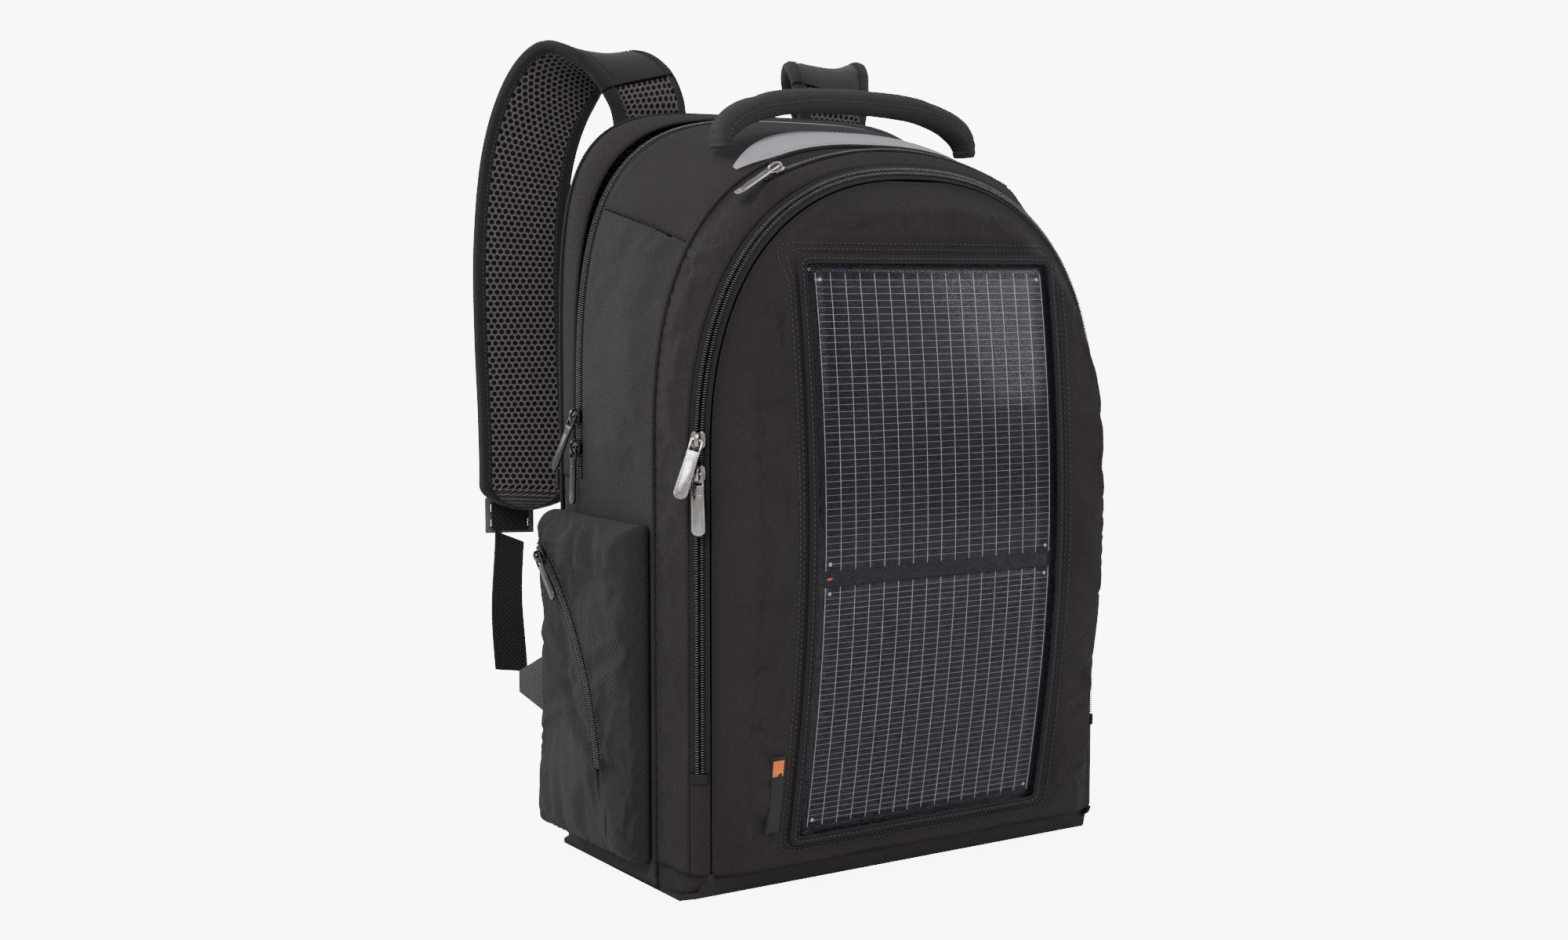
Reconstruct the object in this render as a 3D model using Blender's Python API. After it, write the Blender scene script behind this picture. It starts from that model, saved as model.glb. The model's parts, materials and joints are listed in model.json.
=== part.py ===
"""Solar day pack: fabric panels, zips, straps and a solar window, as separate closed solids.

Metres, +Z up. The pack stands on Z = 0, its solar window faces -Y and its straps are on +Y.
"""

import math

import bmesh
import bpy
from mathutils import Matrix, Vector

# ---------------------------------------------------------------- driving sizes
GAP = 0.0003                 # space kept between pieces that touch
FABRIC = 0.0022              # lined fabric of the side panels and gussets

SPRING_Z = 0.270             # height at which the straight sides turn into the arch

FRONT_ZIP_Y = -0.102         # plane of the front pocket's zip
SEAM_Y = -0.060              # plane of the seam between front pocket and main compartment
MAIN_ZIP_Y = 0.038           # plane of the main compartment's zip
BACK_Y = 0.066               # inner face of the padded back panel

FRONT_HALF_WIDTH = 0.157
FRONT_TOP_Z = 0.447
FRONT_POWER = 2.35           # superellipse exponent: 2 is an ellipse, larger is squarer
SEAM_HALF_WIDTH = 0.163
SEAM_TOP_Z = 0.463
SEAM_POWER = 2.6
MAIN_HALF_WIDTH = 0.163
MAIN_TOP_Z = 0.486
MAIN_POWER = 3.5
BACK_HALF_WIDTH = 0.158
BACK_TOP_Z = 0.490
BACK_POWER = 5.0
PAD_THICKNESS = 0.014        # foam back panel

BASE_THICKNESS = 0.004
BASE_FRONT_Y = -0.082        # where the flat base turns up toward the front cover
LIP_Z = 0.0162               # underside of the base panel's turned-up lip, at its front edge
WALL_FOOT_Z = BASE_THICKNESS + GAP

# zip chain and tape
CHAIN_WIDTH = 0.0068         # both halves together
CHAIN_HEIGHT = 0.0026
TAPE_WIDTH = 0.0062          # visible width of one tape, measured from the chain's middle
TAPE_HEIGHT = 0.0010
FRONT_ZIP_END_Z = 0.083
MAIN_ZIP_END_Z = 0.2505
ROOT_HALF = math.sqrt(0.5)   # the front zip lies at 45 degrees, between the cover and its gusset
GUSSET_FRONT_Y = FRONT_ZIP_Y + (TAPE_WIDTH + CHAIN_HEIGHT) * ROOT_HALF + GAP
GUSSET_SIDESTEP = (TAPE_WIDTH + GAP - CHAIN_HEIGHT + TAPE_HEIGHT) * ROOT_HALF
COVER_INSET = (TAPE_WIDTH + GAP + CHAIN_HEIGHT) * ROOT_HALF + GAP
COVER_RIM_Y = FRONT_ZIP_Y - (TAPE_WIDTH + GAP) * ROOT_HALF

# front cover and its solar window
COVER_THICKNESS = 0.003
COVER_BLUNT = 0.0025         # how far below the arch's top the cover is cut straight
COVER_FOOT_Z = 0.020
FACE_FOOT_Y = -0.1095        # the face's outer surface at the cover's foot
FACE_MIDDLE_Y = -0.134
FACE_HEAD_Y = -0.120
FACE_MIDDLE_Z = 0.225
FACE_HEAD_Z = 0.393
FACE_KNOTS = 14              # straight stretches that the bulging face is made of
RIM_START = 0.90             # share of the outline at which the cover starts to turn back
WINDOW_HALF_WIDTH = 0.099
WINDOW_FOOT_Z = 0.033
WINDOW_HEAD_Z = 0.393
WINDOW_BINDING = 0.0075      # width of the piped binding around the window
BINDING_THICKNESS = 0.0018
MODULE_THICKNESS = 0.0010
FILM_THICKNESS = 0.0005
MODULE_SIDE_MARGIN = 0.003   # between the binding and a module
MODULE_SPLIT_Z = 0.199       # middle of the gap between the two modules
MODULE_SPLIT = 0.010

# label beside the window
LABEL_X = -0.1150
LABEL_WIDTH = 0.0090
LABEL_FOOT_Z = 0.044
LABEL_HEAD_Z = 0.092
LABEL_THICKNESS = 0.0012

# charge controller on the inside of the cover
CASE_WIDTH = 0.060
CASE_HEIGHT = 0.078
CASE_DEPTH = 0.016
CASE_WALL = 0.0018
CASE_FOOT_Z = 0.150
LID_THICKNESS = 0.0020
BOARD_THICKNESS = 0.0016
SOCKET_WIDTH = 0.0145
SOCKET_DEPTH = 0.0075
SOCKET_LENGTH = 0.0140
SOCKET_WALL = 0.0008

# grey top panel, short top zip, handle
TOP_PANEL_HALF_LENGTH = 0.097
TOP_PANEL_TIP_Y = -0.0480
TOP_PANEL_FRONT = 0.0185
TOP_PANEL_REAR = 0.0330
TOP_PANEL_LIFT = 0.0008
TOP_PANEL_THICKNESS = 0.0012
SHOULDER_SPLIT = 1.43        # outline parameter at which side panel and top gusset meet
TOP_ZIP_Y = -0.0790
TOP_ZIP_HALF_CHORD = 0.090   # the chain's arc meets the cloth here and at the middle
TOP_ZIP_LIFT = 0.0020        # underside of the chain above the gusset, at those three points
TOP_ZIP_HALF_ANGLE = math.radians(25.0)
HANDLE_Y = -0.0320
HANDLE_HALF_SPAN = 0.0975
HANDLE_TOP_Z = 0.4935
HANDLE_POWER = 2.6
HANDLE_HEIGHT = 0.0165
HANDLE_WIDTH = 0.0220

# side pockets
POCKET_FRONT_Y = -0.056
POCKET_REAR_Y = 0.0645
POCKET_FOOT_Z = 0.018
POCKET_HEAD_Z = 0.229
POCKET_DEPTH = 0.0235
POCKET_RIM = 0.016
POCKET_FABRIC = 0.0016
POCKET_ARC_Y = 0.163         # centre of the pocket zip's arc
POCKET_ARC_Z = 0.051
POCKET_ARC_RADIUS = 0.194
POCKET_ARC_TOP = math.radians(126.0)
POCKET_ARC_FOOT = math.radians(172.5)
POCKET_HINGE_Z = 0.018
POCKET_CHAIN_X = MAIN_HALF_WIDTH + GAP + POCKET_DEPTH + CHAIN_HEIGHT - TAPE_HEIGHT

# inside
SLEEVE_Y = 0.036
SLEEVE_SIDE_ROOM = 0.023
SLEEVE_HALF_WIDTH = MAIN_HALF_WIDTH - SLEEVE_SIDE_ROOM
SLEEVE_TOP_Z = 0.236
SLEEVE_THICKNESS = 0.0020
INNER_CLEARANCE = 0.0010

# straps
STRAP_WIDTH = 0.066
STRAP_THICKNESS = 0.0095
STRAP_ROOT_X = 0.076
YOKE_HALF_WIDTH = 0.118
YOKE_FOOT_Z = 0.430
YOKE_HEAD_Z = 0.470
YOKE_THICKNESS = 0.003
WEB_WIDTH = 0.025
WEB_THICKNESS = 0.0016
LOCK_WIDTH = 0.034
LOCK_HEIGHT = 0.025
LOCK_THICKNESS = 0.0040
LOCK_BAR = 0.0040
LOCK_OUT = 0.0020            # place of the lock's middle, measured from the strap's end
LOCK_BACK = 0.0215
LOCK_DROP = 0.0060
STRAP_TURN = math.radians(22.0)
STRAP_TAB_STEPS = 4          # how many curve steps above the strap's end the tab starts
STRAP_TAB_GAP = 0.0012
WING_THICKNESS = 0.0030
WING_FOOT_Z = 0.070
WING_HEAD_Z = 0.140
WING_TIP = Vector((0.170, BACK_Y + PAD_THICKNESS + 0.034, 0.106))

# zip sliders and pulls
SLIDER_LENGTH = 0.0110
SLIDER_WIDTH = 0.0094
SLIDER_PLATE = 0.0012
BRIDGE_WIDTH = 0.0026
BRIDGE_POST = 0.0014
BRIDGE_HEIGHT = 0.0046       # from the plate to the top of the bridge
BRIDGE_BAR = 0.0013
PULL_THICKNESS = 0.0015
PULL_ARM = 0.0013
PULL_SIDE_GAP = 0.0015
PULL_NECK = 0.0072           # from the hinge to the tongue
PULL_LENGTH = 0.0370
PULL_WIDTH = 0.0086

LEFT = -1
RIGHT = 1
SIDES = (("left", LEFT), ("right", RIGHT))

BLACK_FABRIC = (0.022, 0.020, 0.022)
SIDE_FABRIC = (0.035, 0.033, 0.034)
GREY_FABRIC = (0.34, 0.33, 0.35)
WEBBING = (0.012, 0.012, 0.013)
STEEL = (0.55, 0.54, 0.52)
GUNMETAL = (0.20, 0.19, 0.18)
PLASTIC = (0.05, 0.05, 0.055)
CELL = (0.012, 0.016, 0.035)


# ---------------------------------------------------------------- mesh helpers
def clear_scene():
    for item in list(bpy.data.objects):
        bpy.data.objects.remove(item, do_unlink=True)


def material(name, colour, roughness, metallic=0.0):
    made = bpy.data.materials.new(name)
    made.use_nodes = True
    shader = made.node_tree.nodes["Principled BSDF"]
    shader.inputs["Base Color"].default_value = (*colour, 1.0)
    shader.inputs["Roughness"].default_value = roughness
    shader.inputs["Metallic"].default_value = metallic
    return made


def add_object(name, bm, colour, roughness, metallic=0.0, pivot=(0.0, 0.0, 0.0), smooth=False):
    """Turn a bmesh in world metres into an object whose origin is the pivot."""
    bmesh.ops.recalc_face_normals(bm, faces=bm.faces)
    if bm.calc_volume(signed=True) < 0.0:
        bmesh.ops.reverse_faces(bm, faces=bm.faces)
    bmesh.ops.translate(bm, verts=bm.verts, vec=-Vector(pivot))
    for face in bm.faces:
        face.smooth = smooth
    mesh = bpy.data.meshes.new(name)
    bm.to_mesh(mesh)
    bm.free()
    made = bpy.data.objects.new(name, mesh)
    made.location = pivot
    mesh.materials.append(material(f"{name}_material", colour, roughness, metallic))
    bpy.context.scene.collection.objects.link(made)
    return made


def rails_mesh(rails):
    """A closed strip: each rail is a row of points, and the rails ring its cross-section."""
    bm = bmesh.new()
    rows = [[bm.verts.new(point) for point in rail] for rail in rails]
    stations = len(rows[0])
    for index, row in enumerate(rows):
        following = rows[(index + 1) % len(rows)]
        for station in range(stations - 1):
            bm.faces.new((row[station], row[station + 1], following[station + 1], following[station]))
    bm.faces.new([row[0] for row in rows])
    bm.faces.new([row[-1] for row in reversed(rows)])
    return bm


def sheet_mesh(front, back):
    """A closed plate between two grids of points with the same rows and columns."""
    bm = bmesh.new()
    grids = [[[bm.verts.new(point) for point in row] for row in grid] for grid in (front, back)]
    rows = len(front)
    columns = len(front[0])
    for grid in grids:
        for i in range(rows - 1):
            for j in range(columns - 1):
                bm.faces.new((grid[i][j], grid[i][j + 1], grid[i + 1][j + 1], grid[i + 1][j]))
    rim = [(i, 0) for i in range(rows)]
    rim += [(rows - 1, j) for j in range(1, columns)]
    rim += [(i, columns - 1) for i in range(rows - 2, -1, -1)]
    rim += [(0, j) for j in range(columns - 2, 0, -1)]
    near, far = grids
    for step, (i, j) in enumerate(rim):
        k, m = rim[(step + 1) % len(rim)]
        bm.faces.new((near[i][j], near[k][m], far[k][m], far[i][j]))
    return bm


def cells_mesh(xs, ys, zs, filled):
    """The solid made of the filled cells of a box grid, with outer faces only."""
    bm = bmesh.new()
    verts = {}

    def vert(i, j, k):
        if (i, j, k) not in verts:
            verts[i, j, k] = bm.verts.new((xs[i], ys[j], zs[k]))
        return verts[i, j, k]

    size = (len(xs) - 1, len(ys) - 1, len(zs) - 1)
    inside = {
        (i, j, k)
        for i in range(size[0])
        for j in range(size[1])
        for k in range(size[2])
        if filled(i, j, k)
    }
    sides = (
        ((-1, 0, 0), ((0, 0, 0), (0, 0, 1), (0, 1, 1), (0, 1, 0))),
        ((1, 0, 0), ((1, 0, 0), (1, 1, 0), (1, 1, 1), (1, 0, 1))),
        ((0, -1, 0), ((0, 0, 0), (1, 0, 0), (1, 0, 1), (0, 0, 1))),
        ((0, 1, 0), ((0, 1, 0), (0, 1, 1), (1, 1, 1), (1, 1, 0))),
        ((0, 0, -1), ((0, 0, 0), (0, 1, 0), (1, 1, 0), (1, 0, 0))),
        ((0, 0, 1), ((0, 0, 1), (1, 0, 1), (1, 1, 1), (0, 1, 1))),
    )
    for i, j, k in sorted(inside):
        for (di, dj, dk), corners in sides:
            if (i + di, j + dj, k + dk) not in inside:
                bm.faces.new([vert(i + a, j + b, k + c) for a, b, c in corners])
    return bm


def box_mesh(low, high):
    return cells_mesh((low[0], high[0]), (low[1], high[1]), (low[2], high[2]), lambda i, j, k: True)


def ring_mesh(outer, inner, offset):
    """A closed frame between an outer and an inner loop of points, thickened by an offset."""
    bm = bmesh.new()
    offset = Vector(offset)
    loops = [outer, inner, [Vector(p) + offset for p in inner], [Vector(p) + offset for p in outer]]
    verts = [[bm.verts.new(point) for point in loop] for loop in loops]
    count = len(outer)
    for index, loop in enumerate(verts):
        following = verts[(index + 1) % len(verts)]
        for step in range(count):
            after = (step + 1) % count
            bm.faces.new((loop[step], loop[after], following[after], following[step]))
    return bm


def smoothstep(value):
    value = min(max(value, 0.0), 1.0)
    return value * value * (3.0 - 2.0 * value)


def linspace(start, end, count):
    return [start + (end - start) * index / (count - 1) for index in range(count)]


# ---------------------------------------------------------------- body outline
SECTIONS = (
    (FRONT_ZIP_Y, FRONT_HALF_WIDTH, FRONT_TOP_Z, FRONT_POWER),
    (SEAM_Y, SEAM_HALF_WIDTH, SEAM_TOP_Z, SEAM_POWER),
    (MAIN_ZIP_Y, MAIN_HALF_WIDTH, MAIN_TOP_Z, MAIN_POWER),
    (BACK_Y, BACK_HALF_WIDTH, BACK_TOP_Z, BACK_POWER),
)


def section(y):
    """Half width, top and exponent of the outline in the plane at y."""
    y = min(max(y, SECTIONS[0][0]), SECTIONS[-1][0])
    for near, far in zip(SECTIONS, SECTIONS[1:]):
        if y <= far[0]:
            share = (y - near[0]) / (far[0] - near[0])
            return [a + (b - a) * share for a, b in zip(near[1:], far[1:])]
    return list(SECTIONS[-1][1:])


def arch_height(x, half_width, top_z, power):
    """Height at x of an arch with the given half width, top and exponent."""
    share = 1.0 - (abs(x) / half_width) ** power
    return SPRING_Z + (top_z - SPRING_Z) * share ** (1.0 / power)


def top_height(x, y):
    """Height of the pack's upper surface above a point."""
    return arch_height(x, *section(y))


def outline_point(y, u, foot_z=WALL_FOOT_Z):
    """Left foot at u = 0, left spring at 1, right spring at 3 and right foot at 4."""
    half_width, top_z, power = section(y)
    if u <= 1.0:
        return Vector((-half_width, y, foot_z + (SPRING_Z - foot_z) * u))
    if u >= 3.0:
        return Vector((half_width, y, foot_z + (SPRING_Z - foot_z) * (4.0 - u)))
    angle = math.pi * (3.0 - u) / 2.0
    c = math.cos(angle)
    s = math.sin(angle)
    radius = (abs(c) ** power + abs(s) ** power) ** (-1.0 / power)
    return Vector((half_width * c * radius, y, SPRING_Z + (top_z - SPRING_Z) * s * radius))


def outward(y, u):
    """Unit normal of the outline in its own plane."""
    step = 0.004
    along = outline_point(y, min(u + step, 4.0)) - outline_point(y, max(u - step, 0.0))
    return Vector((-along.z, 0.0, along.x)).normalized()


def parameter_at_z(z, foot_z=WALL_FOOT_Z):
    """Outline parameter on the straight left side at height z."""
    return (z - foot_z) / (SPRING_Z - foot_z)


def arch_parameters(start, end, per_unit=22):
    """Outline parameters from start to end, with one on each spring line between them."""
    stops = [start]
    stops += [u for u in (1.0, 3.0) if start + 0.02 < u < end - 0.02]
    stops.append(end)
    values = []
    for low, high in zip(stops, stops[1:]):
        straight = high <= 1.0 or low >= 3.0
        count = 2 if straight else max(3, round((high - low) * per_unit))
        values += linspace(low, high, count)[:-1]
    values.append(end)
    return values


def gusset_mesh(y_values, parameters, thickness, front_rail=None):
    """A bent wall that follows the outline, from the first plane to the last."""
    outer = [[outline_point(y, u) for u in parameters] for y in y_values]
    if front_rail:
        outer[0] = front_rail
    inner = []
    for y, row in zip(y_values, outer):
        inner.append([point - outward(y, u) * thickness for point, u in zip(row, parameters)])
    return rails_mesh(outer + inner[::-1])


# ---------------------------------------------------------------- zips
def zip_half_mesh(centres, normals, across, gap):
    """Half a zip: a low tape with the raised half chain along its inner edge."""
    half_chain = CHAIN_WIDTH / 2.0
    profile = (
        (gap / 2.0, 0.0),
        (TAPE_WIDTH, 0.0),
        (TAPE_WIDTH, TAPE_HEIGHT),
        (half_chain, TAPE_HEIGHT),
        (half_chain, CHAIN_HEIGHT),
        (gap / 2.0, CHAIN_HEIGHT),
    )
    rails = []
    for sideways, height in profile:
        rail = []
        for centre, normal, side in zip(centres, normals, across):
            rail.append(centre + side * sideways + normal * (height - CHAIN_HEIGHT))
        rails.append(rail)
    return rails_mesh(rails)


def front_zip_line(u):
    """Middle of the front zip's chain, its outward normal and the way to the gusset."""
    centre = outline_point(FRONT_ZIP_Y, u)
    side = outward(FRONT_ZIP_Y, u)
    back = Vector((0.0, 1.0, 0.0))
    normal = (side - back).normalized()
    return centre, normal, (side + back).normalized()


def front_zip():
    start = parameter_at_z(FRONT_ZIP_END_Z)
    parameters = arch_parameters(start, 4.0 - start, 26)
    lines = [front_zip_line(u) for u in parameters]
    centres = [line[0] for line in lines]
    normals = [line[1] for line in lines]
    outer = zip_half_mesh(centres, normals, [line[2] for line in lines], GAP)
    add_object("front_zip_outer", outer, WEBBING, 0.55)
    inner = zip_half_mesh(centres, normals, [-line[2] for line in lines], GAP)
    add_object("front_zip_inner", inner, WEBBING, 0.55, pivot=COVER_HINGE)


def main_zip():
    start = parameter_at_z(MAIN_ZIP_END_Z)
    parameters = arch_parameters(start, 4.0 - start, 26)
    centres = [outline_point(MAIN_ZIP_Y, u) for u in parameters]
    normals = [outward(MAIN_ZIP_Y, u) for u in parameters]
    forward = [Vector((0.0, -1.0, 0.0))] * len(parameters)
    backward = [Vector((0.0, 1.0, 0.0))] * len(parameters)
    add_object("main_zip_front", zip_half_mesh(centres, normals, forward, GAP), WEBBING, 0.55)
    rear = zip_half_mesh(centres, normals, backward, GAP)
    add_object("main_zip_rear", rear, WEBBING, 0.55, pivot=FLAP_HINGE)


def gusset_height(x):
    """Height of the front gusset's upper surface along the short top zip."""
    share = (TOP_ZIP_Y + CHAIN_WIDTH / 2.0 - GUSSET_FRONT_Y) / (SEAM_Y - GUSSET_FRONT_Y)
    half_width, top_z, power = section(FRONT_ZIP_Y)
    near = arch_height(x, half_width + GUSSET_SIDESTEP, top_z + GUSSET_SIDESTEP, power)
    far = arch_height(x, *section(SEAM_Y))
    return near + (far - near) * share


def top_zip_arc():
    """Radius and centre height of the circle that the short top zip follows."""
    top_z = gusset_height(0.0) + TOP_ZIP_LIFT
    sagitta = gusset_height(0.0) - gusset_height(TOP_ZIP_HALF_CHORD)
    radius = (TOP_ZIP_HALF_CHORD ** 2 + sagitta ** 2) / (2.0 * sagitta)
    return radius, top_z - radius


def top_zip_point(angle, height=0.0):
    """A point above the short top zip's arc: the angle is zero at the middle."""
    radius, centre_z = top_zip_arc()
    radius += height
    return Vector((radius * math.sin(angle), TOP_ZIP_Y, centre_z + radius * math.cos(angle)))


def top_zip():
    angles = linspace(-TOP_ZIP_HALF_ANGLE, TOP_ZIP_HALF_ANGLE, 17)
    half = CHAIN_WIDTH / 2.0
    rails = []
    for across, height in ((-half, 0.0), (half, 0.0), (half, CHAIN_HEIGHT), (-half, CHAIN_HEIGHT)):
        rails.append([top_zip_point(a, height) + Vector((0.0, across, 0.0)) for a in angles])
    add_object("top_pocket_zip", rails_mesh(rails), WEBBING, 0.55)


# ---------------------------------------------------------------- fixed body of the pack
def base_panel():
    half = SEAM_HALF_WIDTH - 0.001
    lip_half = FRONT_HALF_WIDTH - 0.004
    top = BASE_THICKNESS
    rear = BACK_Y + PAD_THICKNESS
    lip_y = COVER_RIM_Y + COVER_THICKNESS + GAP
    stations = (
        (lip_y, LIP_Z, lip_half),
        (BASE_FRONT_Y - 0.014, 0.004, (half + lip_half) / 2.0),
        (BASE_FRONT_Y, 0.0, half),
        (rear - 0.004, 0.0, half - 0.004),
        (rear, 0.0, half - 0.009),
    )
    rails = [
        [Vector((-w, y, z)) for y, z, w in stations],
        [Vector((w, y, z)) for y, z, w in stations],
        [Vector((w, y, z + top)) for y, z, w in stations],
        [Vector((-w, y, z + top)) for y, z, w in stations],
    ]
    add_object("base_panel", rails_mesh(rails), BLACK_FABRIC, 0.9)


def side_panel(name, side):
    """The tall side wall; its foot also runs back to the padded panel below the main zip."""
    rear_edge = MAIN_ZIP_Y - TAPE_WIDTH - GAP
    split = SHOULDER_SPLIT - GAP
    low_top = parameter_at_z(MAIN_ZIP_END_Z - GAP)
    parameters = [0.0, low_top]
    parameters += arch_parameters(low_top + 0.004, split)
    y_values = linspace(SEAM_Y + GAP, rear_edge, 5)
    outer = [[outline_point(y, u) for u in parameters] for y in y_values]
    bm = bmesh.new()
    grids = []
    for inward in (0.0, FABRIC):
        grid = []
        for y, row in zip(y_values, outer):
            grid.append([p - outward(y, u) * inward for p, u in zip(row, parameters)])
        behind = []
        for u in parameters[:2]:
            point = outline_point(BACK_Y - GAP, u)
            behind.append(point - outward(BACK_Y - GAP, u) * inward)
        grids.append((grid, behind))
    tables = []
    for grid, behind in grids:
        table = [[bm.verts.new((p.x * -side, p.y, p.z)) for p in row] for row in grid]
        foot = [bm.verts.new((p.x * -side, p.y, p.z)) for p in behind]
        tables.append((table, foot))
    for table, foot in tables:
        for i in range(len(table) - 1):
            for j in range(len(parameters) - 1):
                near, far = table[i], table[i + 1]
                bm.faces.new((near[j], near[j + 1], far[j + 1], far[j]))
        last = table[-1]
        bm.faces.new((last[0], last[1], foot[1], foot[0]))
    (outer_table, outer_foot), (inner_table, inner_foot) = tables
    count = len(parameters)
    loop_outer = list(outer_table[0])
    loop_inner = list(inner_table[0])
    for i in range(1, len(outer_table)):
        loop_outer.append(outer_table[i][count - 1])
        loop_inner.append(inner_table[i][count - 1])
    for j in range(count - 2, 0, -1):
        loop_outer.append(outer_table[-1][j])
        loop_inner.append(inner_table[-1][j])
    loop_outer += [outer_foot[1], outer_foot[0]]
    loop_inner += [inner_foot[1], inner_foot[0]]
    for i in range(len(outer_table) - 1, 0, -1):
        loop_outer.append(outer_table[i][0])
        loop_inner.append(inner_table[i][0])
    for step in range(len(loop_outer)):
        after = (step + 1) % len(loop_outer)
        bm.faces.new((loop_outer[step], loop_outer[after], loop_inner[after], loop_inner[step]))
    add_object(name, bm, SIDE_FABRIC, 0.88)


def top_gusset():
    start = SHOULDER_SPLIT + GAP
    parameters = arch_parameters(start, 4.0 - start)
    y_values = linspace(SEAM_Y + GAP, MAIN_ZIP_Y - TAPE_WIDTH - GAP, 5)
    add_object("top_gusset", gusset_mesh(y_values, parameters, FABRIC), BLACK_FABRIC, 0.9)


def top_panel():
    front = []
    back = []
    for x in linspace(-TOP_PANEL_HALF_LENGTH, TOP_PANEL_HALF_LENGTH, 21):
        bow = 1.0 - (x / TOP_PANEL_HALF_LENGTH) ** 2
        y_front = TOP_PANEL_TIP_Y - 0.002 - TOP_PANEL_FRONT * bow
        y_front = max(y_front, SEAM_Y + 2.0 * GAP)
        y_rear = TOP_PANEL_TIP_Y + 0.002 + TOP_PANEL_REAR * bow
        low = []
        high = []
        for y in linspace(y_front, y_rear, 4):
            z = top_height(x, y) + TOP_PANEL_LIFT
            low.append(Vector((x, y, z)))
            high.append(Vector((x, y, z + TOP_PANEL_THICKNESS)))
        front.append(low)
        back.append(high)
    add_object("top_panel", sheet_mesh(front, back), GREY_FABRIC, 0.85)


def divider_panel():
    """The wall between the front pocket and the main compartment."""
    parameters = arch_parameters(0.0, 4.0)
    y = SEAM_Y
    inset = FABRIC + INNER_CLEARANCE
    points = [outline_point(y, u) - outward(y, u) * inset for u in parameters]
    bm = bmesh.new()
    near = [bm.verts.new((p.x, y, p.z)) for p in points]
    far = [bm.verts.new((p.x, y + FABRIC * 0.8, p.z)) for p in points]
    bm.faces.new(near)
    bm.faces.new(far[::-1])
    for step in range(len(near)):
        after = (step + 1) % len(near)
        bm.faces.new((near[step], near[after], far[after], far[step]))
    add_object("divider_panel", bm, BLACK_FABRIC, 0.9)


def gusset_front_point(u):
    """The gusset's front edge: beside the outer tape of the front zip and level with it."""
    point = outline_point(FRONT_ZIP_Y, u) + outward(FRONT_ZIP_Y, u) * GUSSET_SIDESTEP
    return Vector((point.x, GUSSET_FRONT_Y, point.z))


def front_gusset():
    """The wall around the front pocket, from the seam to the front zip's tape."""
    start = parameter_at_z(LIP_Z + BASE_THICKNESS + 2.0 * GAP)
    parameters = arch_parameters(start, 4.0 - start, 26)
    rail = [gusset_front_point(u) for u in parameters]
    gusset = gusset_mesh((FRONT_ZIP_Y, SEAM_Y - GAP), parameters, FABRIC, rail)
    add_object("front_gusset", gusset, BLACK_FABRIC, 0.9)


def corner_dart(name, side):
    """The sewn corner that fills the zip's line below the end of the front zip."""
    heights = linspace(LIP_Z + BASE_THICKNESS + 2.0 * GAP, FRONT_ZIP_END_Z - GAP, 3)
    rails = []
    for across, depth in ((-1.0, 0.0), (1.0, 0.0), (1.0, 1.0), (-1.0, 1.0)):
        rail = []
        for z in heights:
            centre, normal, way = front_zip_line(parameter_at_z(z))
            point = centre + way * across * TAPE_WIDTH
            point = point - normal * (CHAIN_HEIGHT - TAPE_HEIGHT + depth * TAPE_HEIGHT)
            rail.append(Vector((point.x * -side, point.y, point.z)))
        rails.append(rail)
    add_object(name, rails_mesh(rails), BLACK_FABRIC, 0.9)


def lower_back_panel():
    half = BACK_HALF_WIDTH
    low = (-half, BACK_Y, WALL_FOOT_Z)
    high = (half, BACK_Y + PAD_THICKNESS, MAIN_ZIP_END_Z - GAP)
    add_object("lower_back_panel", box_mesh(low, high), BLACK_FABRIC, 0.95)


def laptop_sleeve():
    low = (-SLEEVE_HALF_WIDTH, SLEEVE_Y, WALL_FOOT_Z)
    high = (SLEEVE_HALF_WIDTH, SLEEVE_Y + SLEEVE_THICKNESS, SLEEVE_TOP_Z)
    add_object("laptop_sleeve", box_mesh(low, high), SIDE_FABRIC, 0.95)


# ---------------------------------------------------------------- front cover
FACE_STEP = (FACE_HEAD_Z - COVER_FOOT_Z) / FACE_KNOTS


def smooth_face_y(z):
    """The bulging outer surface of the cover, as two half cosines."""
    if z <= FACE_MIDDLE_Z:
        share = (FACE_MIDDLE_Z - z) / (FACE_MIDDLE_Z - COVER_FOOT_Z)
        return FACE_MIDDLE_Y + (FACE_FOOT_Y - FACE_MIDDLE_Y) * (1.0 - math.cos(share * math.pi / 2.0))
    share = (z - FACE_MIDDLE_Z) / (FACE_HEAD_Z - FACE_MIDDLE_Z)
    return FACE_MIDDLE_Y + (FACE_HEAD_Y - FACE_MIDDLE_Y) * share ** 2


def face_y(z):
    """The same surface in straight stretches, which every layer of the window shares."""
    place = (z - COVER_FOOT_Z) / FACE_STEP
    index = min(max(math.floor(place), 0), FACE_KNOTS + 2)
    low = COVER_FOOT_Z + index * FACE_STEP
    share = (z - low) / FACE_STEP
    return smooth_face_y(low) * (1.0 - share) + smooth_face_y(low + FACE_STEP) * share


def face_levels(low, high):
    """Heights from low to high, with each bend of the face between them."""
    bends = [COVER_FOOT_Z + k * FACE_STEP for k in range(FACE_KNOTS + 3)]
    return [low] + [z for z in bends if low + 0.001 < z < high - 0.001] + [high]


def face_plate_mesh(x_low, x_high, z_low, z_high, near, far):
    """A plate that lies along the bulging face, from one offset behind it to another."""
    front = []
    back = []
    for z in face_levels(z_low, z_high):
        front.append([Vector((x, face_y(z) + near, z)) for x in (x_low, x_high)])
        back.append([Vector((x, face_y(z) + far, z)) for x in (x_low, x_high)])
    return sheet_mesh(front, back)


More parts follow.
